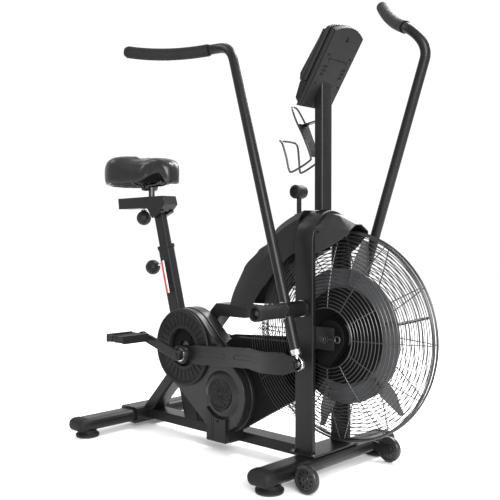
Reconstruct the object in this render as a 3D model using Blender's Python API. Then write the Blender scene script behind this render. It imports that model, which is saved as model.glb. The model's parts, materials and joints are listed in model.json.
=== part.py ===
"""Air bike: fan-braked exercise bike with swinging handles, built as an assembly of separate pieces.

Frame: +X towards the fan, +Y to the rider's left, +Z up, floor at z = 0. Metres throughout.
Positions along X are counted from the line through the two front feet, which is at FRONT_X.
"""
import math

import bmesh
import bpy
from mathutils import Matrix, Vector

# ---------------------------------------------------------------- driving dimensions
GAP = 0.0004                     # clearance between pieces that touch
FRONT_X = 0.3076                 # line of the front feet
WHEELBASE = 0.825                # front feet to rear feet
FOOT_Y = 0.250                   # feet either side of the middle
REAR_X = FRONT_X - WHEELBASE

STABILIZER_HALF = 0.268          # metal tube, end caps come on top
STABILIZER_W = 0.080             # along X
STABILIZER_H = 0.042             # along Z
STABILIZER_Z = 0.0450
CAP_LENGTH = 0.036
STABILIZER_TOP = STABILIZER_Z + STABILIZER_H / 2
SLEEVE_W = STABILIZER_W + 0.012
SLEEVE_H = STABILIZER_H + 0.014
SLEEVE_HALF = 0.074

BEAM_HALF_W = 0.030
BEAM_Z0 = 0.034
BEAM_Z1 = 0.066

FAN = (FRONT_X + 0.053, 0.397)           # fan axle, x and z
GUARD_R = 0.298
GUARD_HUB_R = 0.084
GUARD_HUB_Y = 0.073
GUARD_RIM_Y = 0.010

CRANK = (FRONT_X - 0.507, 0.305)         # crank axle
COVER = (FRONT_X - 0.507, 0.318)         # middle of the round crank cover
JACK = (FRONT_X - 0.347, 0.186)          # intermediate shaft
VENT = (FRONT_X - 0.334, 0.1925)         # vented cover near its end
PIN_R = 0.043                            # crank pin that drives the link
PEDAL_R = 0.132                          # pedal spindle
CRANK_ANGLE = math.radians(-1.5)         # right pin, counted from +X towards +Z
PEDAL_ANGLE = math.radians(160.1)        # right pedal

PIVOT = (FRONT_X - 0.015, 0.476)         # handle pivot and foot peg
ROCKER = 0.148                           # pivot to rod end
HANDLE_Y = 0.163
HANDLE_TUBE_R = 0.0150
GRIP_R = 0.0185
RIGHT_LEAN = math.radians(15.9)          # leans back
LEFT_LEAN = math.radians(-18.2)          # leans forward

LINK_REAR_Y = 0.131
LINK_FRONT_Y = 0.1835
LINK_T = 0.008
LINK_HALF_H = 0.030
PEDAL_ARM_Y = 0.165

LEG_OUTER_Y = 0.0915
LEG_T = 0.0157
LEG_X0 = FRONT_X - 0.0467
LEG_X1 = FRONT_X + 0.0173
FORK_CENTRE_Z = 0.660                    # centre of the round top

SEAT_LEAN = math.radians(15.5)
SEAT_POINT = (FRONT_X - 0.7085, 0.635)   # a point on the seat tube's axis
SEAT_TUBE_W = 0.054
SEAT_TUBE_D = 0.034
SEAT_POST_W = 0.046
SEAT_POST_D = 0.026
SEAT_TUBE_TOP = 0.001                    # along the axis from SEAT_POINT
SEAT_TUBE_LOW = -0.520
STRUT_ANGLE = math.radians(46.5)
STRUT_OFFSET = 0.609                     # from the front feet's floor line, square to the strut
STRUT_T = 0.040
UPPER_Z0 = 0.4215
UPPER_Z1 = 0.4605
SADDLE_REAR = FRONT_X - 0.967
SADDLE_NOSE = FRONT_X - 0.655
SADDLE_REAR_HALF = 0.124
SADDLE_NOSE_HALF = 0.058
SADDLE_Z0 = 0.850
SADDLE_Z1 = 0.960
SADDLE_HOLLOW_Z = 0.8662

WHEEL = (FRONT_X + 0.082, 0.0395)
WHEEL_R = 0.0380
WHEEL_Y = 0.1955
WHEEL_HALF_W = 0.0105

RING_R = 0.0820                          # crank sprocket, 40 teeth
PINION_R = 0.0287                        # driven by it, 14 teeth
WHEEL_SPROCKET_R = 0.0740                # second stage, 36 teeth
FAN_SPROCKET_R = 0.0247                  # 12 teeth

CASE_Y = (-0.100, -0.0757)               # crank chain case, outer tray
DRUM_Y = -0.0753                         # outer face of the fan chain case round both shafts
CASE2_Y = (-0.0622, -0.0335)             # its longer part that runs to the fan
COVER_HOLE_R = 0.061

KNOB_ALONG = -0.048                      # lower knob, along the seat axis
KNOB_OUT = 0.0886                        # and behind it
KNOB_R = 0.0262

# Rear shroud: (degrees round the fan, radius) of its outer ridge, shoulder and inner edge.
SHROUD_OUTER = ((100.0, 0.369), (122.0, 0.367), (133.0, 0.354), (140.0, 0.366), (152.0, 0.385), (172.0, 0.405))
SHROUD_SHOULDER = ((100.0, 0.345), (124.0, 0.340), (134.0, 0.315), (172.0, 0.338))
SHROUD_INNER = ((100.0, 0.258), (140.0, 0.262), (172.0, 0.292))
SHROUD_HALF = 0.0750
SHROUD_EDGE_Y = 0.048

LOCK_X = FRONT_X - 0.107                 # plunger that locks the fan
LOCK_Z = 0.808                           # middle of its cross handle
SADDLE_STEM_X = FRONT_X - 0.787          # middle of the saddle clamp
SADDLE_STEM_Z = 0.806

# Handle, in its own axes: rearwards, outwards, up the tube.
BEND_FROM = Vector((0.0, 0.0, 0.735))
GRIP_START = Vector((0.0915, -0.0015, 0.812))
GRIP_BEND = Vector((0.203, 0.071, 0.825))
GRIP_TIP = Vector((0.297, 0.142, 0.8765))

BUTTON_ANGLE = math.atan2(0.937, 0.349)
BUTTON_Y = (-0.025, 0.025)

# ---------------------------------------------------------------- materials
COLOURS = {
    "frame_paint": ((0.030, 0.030, 0.032), 0.0, 0.45),
    "textured_plastic": ((0.035, 0.035, 0.037), 0.0, 0.60),
    "rubber": ((0.020, 0.020, 0.020), 0.0, 0.85),
    "bright_steel": ((0.62, 0.62, 0.64), 1.0, 0.30),
    "dark_steel": ((0.16, 0.16, 0.17), 1.0, 0.45),
    "fan_paint": ((0.10, 0.10, 0.105), 0.2, 0.50),
    "vinyl": ((0.030, 0.030, 0.032), 0.0, 0.40),
    "tread": ((0.10, 0.10, 0.10), 0.0, 0.35),
    "display": ((0.05, 0.07, 0.06), 0.0, 0.15),
    "button": ((0.35, 0.06, 0.05), 0.0, 0.50),
    "wire": ((0.035, 0.035, 0.036), 0.3, 0.40),
}


def make_material(name, finish):
    """One Principled material for one piece."""
    colour, metallic, roughness = COLOURS[finish]
    material = bpy.data.materials.new(name)
    material.use_nodes = True
    shader = material.node_tree.nodes["Principled BSDF"]
    shader.inputs["Base Color"].default_value = (*colour, 1.0)
    shader.inputs["Metallic"].default_value = metallic
    shader.inputs["Roughness"].default_value = roughness
    material.diffuse_color = (*colour, 1.0)
    return material


# ---------------------------------------------------------------- objects
def clear_scene():
    for old in list(bpy.data.objects):
        bpy.data.objects.remove(old, do_unlink=True)


def empty(name, location):
    """A joint's centre, which its pieces are parented to."""
    holder = bpy.data.objects.new(name, None)
    holder.location = location
    holder.empty_display_size = 0.05
    bpy.context.scene.collection.objects.link(holder)
    return holder


def add(name, bm, finish, parent=None, origin=None):
    """Turn a bmesh given in world coordinates into a named piece with its origin at `origin`."""
    bmesh.ops.recalc_face_normals(bm, faces=bm.faces)
    base = Vector(origin) if origin is not None else (parent.location.copy() if parent else Vector())
    bmesh.ops.translate(bm, verts=bm.verts, vec=-base)
    mesh = bpy.data.meshes.new(name)
    bm.to_mesh(mesh)
    bm.free()
    mesh.shade_smooth()
    mesh.set_sharp_from_angle(angle=math.radians(35.0))
    piece = bpy.data.objects.new(name, mesh)
    piece.location = base - parent.location if parent else base
    piece.parent = parent
    mesh.materials.append(make_material(name, finish))
    bpy.context.scene.collection.objects.link(piece)
    return piece


def tool(bm, name="cutter"):
    """A hidden solid, given in world coordinates, that a Boolean uses."""
    bmesh.ops.recalc_face_normals(bm, faces=bm.faces)
    mesh = bpy.data.meshes.new(name)
    bm.to_mesh(mesh)
    bm.free()
    helper = bpy.data.objects.new(name, mesh)
    helper.hide_render = True
    helper.display_type = "WIRE"
    bpy.context.scene.collection.objects.link(helper)
    return helper


def boolean(piece, bm, operation):
    modifier = piece.modifiers.new(operation.lower(), "BOOLEAN")
    modifier.operation = operation
    modifier.solver = "EXACT"
    modifier.object = tool(bm, piece.name + "_" + operation.lower())


def cut(piece, bm):
    boolean(piece, bm, "DIFFERENCE")


def unite(piece, bm):
    boolean(piece, bm, "UNION")


# ---------------------------------------------------------------- shapes
def rounded_rect(width, height, radius, corner=3):
    """Outline of a rectangle with round corners, anticlockwise, centred on the origin."""
    points = []
    for sx, sy, start in ((1, 1, 0.0), (-1, 1, 0.5), (-1, -1, 1.0), (1, -1, 1.5)):
        for i in range(corner + 1):
            angle = math.pi * (start + 0.5 * i / corner)
            x = sx * (width / 2 - radius) + radius * math.cos(angle)
            y = sy * (height / 2 - radius) + radius * math.sin(angle)
            points.append((x, y))
    return points


def circle(radius, sides, centre=(0.0, 0.0)):
    turn = 2 * math.pi / sides
    return [(centre[0] + radius * math.cos(turn * i), centre[1] + radius * math.sin(turn * i))
            for i in range(sides)]


def hull_of_circles(circles, sides=26):
    """Convex outline round several circles, each (x, z, radius)."""
    cloud = sorted(p for x, z, r in circles for p in circle(r, sides, (x, z)))

    def half(points):
        chain = []
        for p in points:
            while len(chain) > 1 and cross2(chain[-2], chain[-1], p) <= 1e-9:
                chain.pop()
            chain.append(p)
        return chain[:-1]

    return half(cloud) + half(cloud[::-1])


def cross2(a, b, c):
    return (b[0] - a[0]) * (c[1] - a[1]) - (b[1] - a[1]) * (c[0] - a[0])


def skin(rings, closed=False):
    """Join equal rings of points with quads, and cap both ends unless the rings close on themselves."""
    bm = bmesh.new()
    loops = [[bm.verts.new(p) for p in ring] for ring in rings]
    pairs = list(zip(loops, loops[1:]))
    if closed:
        pairs.append((loops[-1], loops[0]))
    for a, b in pairs:
        for i in range(len(a)):
            j = (i + 1) % len(a)
            bm.faces.new((a[i], a[j], b[j], b[i]))
    if not closed:
        bm.faces.new(loops[0][::-1])
        bm.faces.new(loops[-1])
    return bm


def prism(outline, y0, y1):
    """Outline in X and Z, extruded along Y."""
    return skin([[(x, y, z) for x, z in outline] for y in (y0, y1)])


def box(x0, x1, y0, y1, z0, z1):
    return prism([(x0, z0), (x1, z0), (x1, z1), (x0, z1)], y0, y1)


def sweep(path, section, side=None, closed=False):
    """Carry a section along a path. Section points are (along side, along normal)."""
    points = [Vector(p) for p in path]
    last = len(points) - 1
    hint = Vector(side) if side else None
    rings = []
    for i, point in enumerate(points):
        before = points[i - 1] if (closed or i > 0) else point
        after = points[(i + 1) % len(points)] if (closed or i < last) else point
        tangent = (after - before).normalized()
        if hint is None:
            hint = tangent.orthogonal()
        across = (hint - tangent * hint.dot(tangent)).normalized()
        if side is None:
            hint = across
        normal = tangent.cross(across)
        rings.append([point + across * u + normal * v for u, v in section])
    return skin(rings, closed)


def lathe(profile, centre, axis="Y", sides=20, closed=False):
    """Turn (radius, along) points about a line through `centre` parallel to an axis.

    A profile that starts and ends on the axis is a solid; a closed one is a ring.
    """
    bm = bmesh.new()
    turn = 2 * math.pi / sides
    centre = Vector(centre)
    rings = []
    for radius, along in profile:
        if radius < 1e-6:
            rings.append([bm.verts.new(centre + turned(0.0, 0.0, along, axis))])
        else:
            rings.append([bm.verts.new(centre + turned(radius, turn * i, along, axis)) for i in range(sides)])
    pairs = list(zip(rings, rings[1:]))
    if closed:
        pairs.append((rings[-1], rings[0]))
    for a, b in pairs:
        for i in range(sides):
            j = (i + 1) % sides
            corners = [a[i % len(a)], a[j % len(a)], b[j % len(b)], b[i % len(b)]]
            unique = list(dict.fromkeys(corners))
            bm.faces.new(unique)
    return bm


def turned(radius, angle, along, axis):
    c, s = radius * math.cos(angle), radius * math.sin(angle)
    if axis == "Y":
        return Vector((c, along, s))
    if axis == "Z":
        return Vector((c, s, along))
    return Vector((along, c, s))


def cylinder(radius, y0, y1, x, z, sides=16):
    return lathe([(0, y0), (radius, y0), (radius, y1), (0, y1)], (x, 0, z), "Y", sides)


def spin_about(bm, matrix):
    bmesh.ops.transform(bm, matrix=matrix, verts=bm.verts)
    return bm


def smooth_path(points, steps, closed=False):
    """Catmull-Rom curve through the points."""
    pts = [Vector(p) for p in points]
    count = len(pts)
    spans = count if closed else count - 1
    curve = []
    for i in range(spans):
        p1 = pts[i]
        p2 = pts[(i + 1) % count]
        p0 = pts[i - 1] if (closed or i > 0) else p1 * 2 - p2
        p3 = pts[(i + 2) % count] if (closed or i + 2 < count) else p2 * 2 - p1
        for k in range(steps):
            t = k / steps
            curve.append(0.5 * (2 * p1 + (p2 - p0) * t + (2 * p0 - 5 * p1 + 4 * p2 - p3) * t * t
                                + (3 * p1 - p0 - 3 * p2 + p3) * t * t * t))
    if not closed:
        curve.append(pts[-1])
    return curve


def along_seat(distance, across=0.0, y=0.0):
    """A point on the seat tube's axis, `distance` up from SEAT_POINT and `across` towards the fan."""
    c, s = math.cos(SEAT_LEAN), math.sin(SEAT_LEAN)
    return Vector((SEAT_POINT[0] - distance * s + across * c, y, SEAT_POINT[1] + distance * c + across * s))


# ---------------------------------------------------------------- base frame
def stabilizer(name, x):
    """Flat-sided oval cross tube with a moulded end cap on each end."""
    section = rounded_rect(STABILIZER_W, STABILIZER_H, 0.0200, 4)
    path = [(x, -STABILIZER_HALF, STABILIZER_Z), (x, STABILIZER_HALF, STABILIZER_Z)]
    return add(name, sweep(path, section, side=(1, 0, 0)), "frame_paint")


def foot_cap(name, x, side):
    """Moulded rubber end: a domed cap over the tube's end and the round foot under it, in one piece."""
    start = STABILIZER_HALF + GAP
    rings = []
    for along, shrink in ((0.0, 0.0), (0.020, 0.0), (0.030, 0.005), (CAP_LENGTH, 0.014)):
        section = rounded_rect(STABILIZER_W + 0.003 - 2 * shrink, STABILIZER_H + 0.003 - 2 * shrink,
                               0.0210 - shrink * 0.8, 3)
        rings.append([(x + u, side * (start + along), STABILIZER_Z + v) for u, v in section])
    piece = add(name, skin(rings), "rubber")
    top = STABILIZER_Z - STABILIZER_H / 2 - GAP
    profile = [(0, 0), (0.035, 0), (0.039, 0.004), (0.039, 0.012), (0.033, 0.016), (0.030, top), (0, top)]
    unite(piece, lathe(profile, (x, side * FOOT_Y, 0), "Z", 16))
    lo, hi = sorted((side * (STABILIZER_HALF + 0.001), side * (FOOT_Y + 0.026)))
    unite(piece, box(x - 0.014, x + 0.014, lo, hi, top - 0.006, top + 0.012))
    return piece


def wheel_bracket(stabilizer_piece, side):
    """Ear on the front stabilizer that carries a transport wheel on a short stub axle."""
    wx, wz = WHEEL
    inner = side * (WHEEL_Y - WHEEL_HALF_W - 0.006)
    outer = side * (WHEEL_Y - WHEEL_HALF_W - 0.002)
    outline = [(FRONT_X + 0.020, 0.034), (wx - 0.006, wz - 0.014), (wx + 0.008, wz - 0.012),
               (wx + 0.014, wz), (wx + 0.008, wz + 0.012), (FRONT_X + 0.030, 0.060)]
    unite(stabilizer_piece, prism(outline, inner, outer))
    stub = cylinder(0.0060, side * (WHEEL_Y - WHEEL_HALF_W - 0.004), side * (WHEEL_Y + WHEEL_HALF_W - 0.001),
                    wx, wz, 16)
    unite(stabilizer_piece, stub)


def transport_wheel(name, side):
    holder = empty(name + "_axis", (WHEEL[0], side * WHEEL_Y, WHEEL[1]))
    w = WHEEL_HALF_W
    profile = [(0.0064, -w + 0.001), (0.013, -w + 0.001), (0.013, -w + 0.003), (0.030, -w + 0.003),
               (0.031, -w), (WHEEL_R, -w + 0.005), (WHEEL_R, w - 0.005), (0.031, w), (0.030, w - 0.003),
               (0.0064, w - 0.003)]
    centre = (WHEEL[0], side * WHEEL_Y, WHEEL[1])
    return add(name, lathe(profile, centre, "Y", 20, closed=True), "tread", holder)


def main_beam():
    """Low rectangular beam between the two stabilizers, notched to fit against them."""
    front = FRONT_X - STABILIZER_W / 2 - GAP
    rear = REAR_X + STABILIZER_W / 2 + GAP
    bm = box(rear, front, -BEAM_HALF_W, BEAM_HALF_W, BEAM_Z0, BEAM_Z1)
    return add("main_beam", bm, "frame_paint")


def rear_sleeve(piece):
    """Wider sleeve round the middle of the rear stabilizer."""
    section = rounded_rect(SLEEVE_W, SLEEVE_H, 0.012, 2)
    path = [(REAR_X, -SLEEVE_HALF, STABILIZER_Z), (REAR_X, SLEEVE_HALF, STABILIZER_Z)]
    unite(piece, sweep(path, section, side=(1, 0, 0)))


def strut_point(z, off=0.0):
    """A point of the diagonal's middle line at height z, moved `off` square to it towards the rear."""
    x = (math.cos(STRUT_ANGLE) * z - STRUT_OFFSET - off) / math.sin(STRUT_ANGLE)
    return (FRONT_X + x, z)


def diagonal_strut():
    """Long diagonal from the rear of the beam to the upper beam, with the crank shell and the lower post."""
    low, high = strut_point(BEAM_Z1 - 0.08), strut_point(UPPER_Z0 + 0.05)
    section = rounded_rect(2 * BEAM_HALF_W, STRUT_T, 0.006, 2)
    path = [(low[0], 0, low[1]), (high[0], 0, high[1])]
    piece = add("diagonal_strut", sweep(path, section, side=(0, 1, 0)), "frame_paint")
    lower_post = rounded_rect(0.058, 0.066, 0.006, 2)
    unite(piece, sweep([along_seat(-0.620), along_seat(-0.440)], lower_post, side=(0, 1, 0)))
    cut(piece, box(-2, 2, -0.1, 0.1, -0.3, BEAM_Z1 + GAP))
    cut(piece, box(-2, REAR_X + SLEEVE_W / 2 + GAP, -0.1, 0.1, -0.3, STABILIZER_Z + SLEEVE_H / 2 + GAP))
    cut(piece, box(-2, 2, -0.1, 0.1, UPPER_Z0 - GAP, 0.9))
    cut(piece, seat_tube_solid(SEAT_TUBE_W + 2 * GAP, SEAT_TUBE_D + 2 * GAP, SEAT_TUBE_LOW - GAP, 0.05))
    unite(piece, cylinder(0.026, -0.0330, 0.075, CRANK[0], CRANK[1], 20))
    cut(piece, cylinder(0.021, -0.2, 0.2, CRANK[0], CRANK[1], 20))
    return piece


def seat_tube_solid(width, depth, low, high):
    section = rounded_rect(width, depth, 0.008, 3)
    turned_section = [(v, u) for u, v in section]
    return sweep([along_seat(low), along_seat(high)], turned_section, side=(0, 1, 0))


def seat_tube():
    """Hollow seat tube with a collar on top, socketed in the strut and its lower post."""
    shell = seat_tube_solid(SEAT_TUBE_W, SEAT_TUBE_D, SEAT_TUBE_LOW, SEAT_TUBE_TOP)
    piece = add("seat_tube", shell, "frame_paint")
    collar = seat_tube_solid(SEAT_TUBE_W + 0.004, SEAT_TUBE_D + 0.004,
                             SEAT_TUBE_TOP - 0.004, SEAT_TUBE_TOP + 0.008)
    unite(piece, collar)
    cut(piece, seat_tube_solid(SEAT_POST_W + 0.0016, SEAT_POST_D + 0.0016, -0.400, 0.10))
    hole = lathe([(0, -0.06), (0.0064, -0.06), (0.0064, -0.018), (0, -0.018)], (0, 0, 0), "X", 16)
    centre = along_seat(KNOB_ALONG)
    spin_about(hole, Matrix.Translation(centre) @ Matrix.Rotation(-SEAT_LEAN, 4, "Y"))
    cut(piece, hole)
    return piece


def upper_beam():
    """Short beam on the end of the strut that holds the rear shroud."""
    x1 = FRONT_X - 0.300
    outline = [strut_point(UPPER_Z0, STRUT_T / 2), strut_point(UPPER_Z0 + 0.018, STRUT_T / 2),
               (FRONT_X - 0.428, UPPER_Z1), (x1, UPPER_Z1), (x1, UPPER_Z0)]
    return add("upper_beam", prism(outline, -BEAM_HALF_W, BEAM_HALF_W), "frame_paint")


def fork():
    """Bent flat tube over the fan: two legs and a round top, on a flange, with the fan's axle plates."""
    mid_y = LEG_OUTER_Y - LEG_T / 2
    mid_x = (LEG_X0 + LEG_X1) / 2
    foot_z = STABILIZER_TOP + GAP + 0.002
    path = [(mid_x, -mid_y, foot_z), (mid_x, -mid_y, FORK_CENTRE_Z - 0.02)]
    for i in range(11):
        angle = math.pi * i / 10
        path.append((mid_x, -mid_y * math.cos(angle), FORK_CENTRE_Z + mid_y * math.sin(angle)))
    path.append((mid_x, mid_y, FORK_CENTRE_Z - 0.02))
    path.append((mid_x, mid_y, foot_z))
    section = rounded_rect(LEG_X1 - LEG_X0, LEG_T, 0.0045, 1)
    piece = add("fork", sweep(path, section, side=(1, 0, 0)), "frame_paint")
    flange = box(LEG_X0 - 0.008, FRONT_X + 0.036, -0.108, 0.108, STABILIZER_TOP + GAP, STABILIZER_TOP + 0.005)
    unite(piece, flange)
    for side in (-1, 1):
        plate = box(LEG_X1 - 0.006, FAN[0] + 0.032, side * 0.0785, side * 0.0845,
                    FAN[1] - 0.031, FAN[1] + 0.031)
        unite(piece, plate)
        cut(piece, cylinder(0.0084, side * 0.070, side * 0.090, FAN[0], FAN[1], 16))
    return piece


def mast():
    """Upright from the fork's top to the console; its top is cut to the console's slope."""
    x0 = FRONT_X - 0.033
    x1 = FRONT_X - 0.002
    base = FORK_CENTRE_Z + LEG_OUTER_Y + GAP
    section = rounded_rect(x1 - x0, 0.0472, 0.007, 3)
    path = [((x0 + x1) / 2, 0, base), ((x0 + x1) / 2, 0, 1.20)]
    piece = add("mast", sweep(path, section, side=(1, 0, 0)), "frame_paint")
    b0, b1 = console_back()
    out = Vector((b1[1] - b0[1], 0, b0[0] - b1[0])).normalized() * GAP * 2
    below = (b0[0] * 2 - b1[0] + out.x, b0[1] * 2 - b1[1] + out.z)
    above = (b1[0] * 2 - b0[0] + out.x, b1[1] * 2 - b0[1] + out.z)
    wedge = [below, above, (x0 - 0.3, 1.5), (x0 - 0.3, 0.9)]
    cut(piece, prism(wedge, -0.1, 0.1))
    return piece


# ---------------------------------------------------------------- seat
def seat_post(holder):
    low = SEAT_TUBE_TOP - 0.270
    piece = add("seat_post", seat_tube_solid(SEAT_POST_W, SEAT_POST_D, low, 0.150), "frame_paint", holder)
    cut(piece, box(-2, 2, -0.1, 0.1, 0.7615, 1.2))
    return piece


def seat_carriage(holder):
    """Horizontal channel with a gusset welded on the post; the saddle clamp slides in its groove."""
    x = FRONT_X
    outline = [(x - 0.938, 0.7735), (x - 0.943, 0.812), (x - 0.712, 0.8155), (x - 0.692, 0.8155),
               (x - 0.682, 0.786), (x - 0.708, 0.762), (x - 0.757, 0.7625), (x - 0.780, 0.7745)]
    piece = add("seat_carriage", prism(outline, -0.030, 0.030), "frame_paint", holder)
    cheek = [(x - 0.778, 0.775), (x - 0.700, 0.7635), (x - 0.706, 0.757), (x - 0.750, 0.739)]
    for side in (-1, 1):
        unite(piece, prism(cheek, side * 0.0140, side * 0.0296))
    cut(piece, box(x - 0.890, x - 0.730, -0.0125, 0.0125, 0.797, 0.85))
    cut(piece, lathe([(0, 0.75), (0.0052, 0.75), (0.0052, 0.790), (0, 0.790)], (x - 0.831, 0, 0), "Z", 14))
    return piece


def saddle_clamp(holder):
    """Slider block, stem and cross clamp under the saddle."""
    x = SADDLE_STEM_X
    block = box(x - 0.022, x + 0.022, -0.0120, 0.0120, 0.7975, 0.8135)
    piece = add("saddle_clamp", block, "dark_steel", holder)
    stem = [(0, SADDLE_STEM_Z), (0.0110, SADDLE_STEM_Z), (0.0110, 0.850), (0, 0.850)]
    unite(piece, lathe(stem, (x, 0, 0), "Z", 16))
    unite(piece, cylinder(0.0150, -0.028, 0.028, x - 0.012, 0.8505, 20))
    return piece


def saddle_half_width(t):
    """Half width of the saddle, from the rear (t = 0) to the nose (t = 1)."""
    end = math.sqrt(max(0.0, 1 - (2 * t - 1) ** 6))
    return end * (SADDLE_REAR_HALF + (SADDLE_NOSE_HALF - SADDLE_REAR_HALF) * smooth_step((t - 0.22) / 0.62))


def smooth_step(t):
    t = min(1.0, max(0.0, t))
    return t * t * (3 - 2 * t)


def saddle_ring(z, scale, drop, count=14):
    """Outline of the saddle at one level; the top levels drop towards the nose."""
    middle = (SADDLE_REAR + SADDLE_NOSE) / 2
    length = SADDLE_NOSE - SADDLE_REAR
    ring = []
    for i in range(2 * count):
        turn = math.pi * i / count
        t = 0.5 + 0.5 * math.cos(turn)
        half = saddle_half_width(t) if 0 < i < 2 * count and i != count else 0.0
        y = math.copysign(half, math.sin(turn)) if half else 0.0
        x = middle + (t - 0.5) * length * scale
        ring.append((x, y * scale, z - drop * smooth_step((t - 0.25) / 0.35)))
    return ring


def saddle(holder):
    """Wide pad with a short nose and a hollow underside; plain outer form of the cushion."""
    levels = ((SADDLE_Z0 + 0.010, 0.955, 0.010), (SADDLE_Z0 + 0.024, 1.0, 0.010),
              (SADDLE_Z1 - 0.036, 0.99, 0.010),
              (SADDLE_Z1 - 0.014, 0.88, 0.017), (SADDLE_Z1, 0.60, 0.022))
    piece = add("saddle", skin([saddle_ring(*level) for level in levels]), "vinyl", holder)
    cut(piece, skin([saddle_ring(SADDLE_Z0 - 0.01, 0.88, 0.0), saddle_ring(SADDLE_HOLLOW_Z, 0.80, 0.0)]))
    return piece


def ball_knob(name, holder, matrix, reach):
    """Round plastic knob on a steel pin. The pin points along local +X and ends at `reach`."""
    profile = [(0, -KNOB_R)]
    for i in range(1, 6):
        a = math.pi * i / 7
        profile.append((KNOB_R * math.sin(a), -KNOB_R * math.cos(a)))
    profile += [(0.0105, KNOB_R * 0.93), (0.0105, KNOB_R + 0.003), (0.0046, KNOB_R + 0.003), (0.0046, reach),
                (0, reach)]
    bm = lathe(profile, (0, 0, 0), "X", 16)
    return add(name, spin_about(bm, matrix), "textured_plastic", holder)


# ---------------------------------------------------------------- fan
def guard_depth(r):
    """Half thickness of the lens-shaped guard at radius r."""
    t = (r - GUARD_HUB_R) / (GUARD_R - GUARD_HUB_R)
    return GUARD_RIM_Y + (GUARD_HUB_Y - GUARD_RIM_Y) * (1 - t ** 2.3)


def guard(name, side):
    """One half of the fan guard: rings and spokes cut out of one dished sheet."""
    strip = 0.0052
    rings_at = [GUARD_HUB_R, 0.152, 0.222, GUARD_R - strip]
    radii = sorted(r + d for r in rings_at for d in (0.0, strip))
    spokes = 8
    angles = []
    for k in range(spokes):
        base = 2 * math.pi * k / spokes
        angles += [base - 0.012, base + 0.012, base + 2 * math.pi / spokes / 2]
    bm = bmesh.new()
    grid = []
    for r in radii:
        row = []
        for a in angles:
            reach = max(r, GUARD_HUB_R)
            x, z = FAN[0] + r * math.cos(a), FAN[1] + r * math.sin(a)
            row.append(bm.verts.new((x, side * guard_depth(reach), z)))
        grid.append(row)
    count = len(angles)
    for i in range(len(radii) - 1):
        for j in range(count):
            if i % 2 == 0 or j % 3 == 0:
                k = (j + 1) % count
                bm.faces.new((grid[i][j], grid[i][k], grid[i + 1][k], grid[i + 1][j]))
    piece = add(name, bm, "wire")
    for face in piece.data.polygons:
        face.use_smooth = False
    solidify = piece.modifiers.new("solidify", "SOLIDIFY")
    solidify.thickness = 0.0030
    solidify.offset = 0.0
    if side < 0:
        for outline in fan_case_arms(-0.004, 16):
            cut(piece, prism(outline, CASE2_Y[0] - 0.002, CASE2_Y[1] + 0.002))
    return piece


def fan_wheel(holder):
    """Hub, dished disc and six flat radial vanes."""
    disc = [(0.0104, -0.024), (0.026, -0.024), (0.032, -0.003), (0.138, -0.003), (0.146, -0.012),
            (0.190, -0.005), (0.190, 0.001), (0.146, -0.006), (0.140, 0.003), (0.032, 0.003), (0.026, 0.030),
            (0.0104, 0.030)]
    piece = add("fan_wheel", lathe(disc, (FAN[0], 0, FAN[1]), "Y", 24, closed=True), "fan_paint", holder)
    for k in range(6):
        angle = math.radians(15.0 + 60.0 * k)
        vane = prism([(0.150, -0.0012), (0.276, -0.0012), (0.276, 0.0012), (0.150, 0.0012)], -0.028, 0.046)
        for v in vane.verts:
            if v.co.x > 0.2:
                v.co.y = v.co.y * 0.36
        spin_about(vane, Matrix.Translation((FAN[0], 0, FAN[1])) @ Matrix.Rotation(-angle, 4, "Y"))
        unite(piece, vane)
    return piece


def fan_axle(holder):
    """Axle with its driven sprocket and the end nuts."""
    profile = [(0, -0.098), (0.0078, -0.098), (0.0078, -0.0520), (FAN_SPROCKET_R, -0.0520),
               (FAN_SPROCKET_R, -0.0445), (0.0100, -0.0445), (0.0100, 0.050), (0.0078, 0.056),
               (0.0078, 0.098), (0, 0.098)]
    return add("fan_axle", lathe(profile, (FAN[0], 0, FAN[1]), "Y", 16), "bright_steel", holder)


def interpolate(table, value):
    """Smooth value from a short table of (key, value) pairs in rising order."""
    for (k0, v0), (k1, v1) in zip(table, table[1:]):
        if value <= k1:
            return v0 + (v1 - v0) * smooth_step((value - k0) / (k1 - k0))
    return table[-1][1]


def rear_shroud():
    """Plastic cover over the upper rear of the guard: two lobes, chamfered sides, open towards the fan."""
    wall = 0.003
    rings = []
    for degrees in (104, 110, 116, 122, 128, 133, 138, 144, 150, 156, 162, 168, 172):
        outer = interpolate(SHROUD_OUTER, degrees)
        shoulder = interpolate(SHROUD_SHOULDER, degrees)
        inner = interpolate(SHROUD_INNER, degrees)
        half = [(inner, SHROUD_HALF), (shoulder, SHROUD_HALF), (outer, SHROUD_EDGE_Y)]
        inside = [(outer - wall, SHROUD_EDGE_Y - wall / 2), (shoulder - wall / 2, SHROUD_HALF - wall),
                  (inner, SHROUD_HALF - wall)]
        loop = [(r, -y) for r, y in half] + [(r, y) for r, y in reversed(half)]
        loop += [(r, y) for r, y in reversed(inside)] + [(r, -y) for r, y in inside]
        a = math.radians(degrees)
        rings.append([(FAN[0] + r * math.cos(a), y, FAN[1] + r * math.sin(a)) for r, y in loop])
    piece = add("rear_shroud", skin(rings), "textured_plastic")
    cut(piece, box(LEG_X0 - GAP, 1.0, -0.2, 0.2, 0.0, 1.0))
    cut(piece, box(-1.0, FRONT_X - 0.20, -0.2, 0.2, 0.0, UPPER_Z1 + GAP))
    bore = lathe([(0, 0.60), (0.0078, 0.60), (0.0078, 0.90), (0, 0.90)], (LOCK_X, 0, 0), "Z", 16)
    cut(piece, bore)
    return piece


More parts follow.
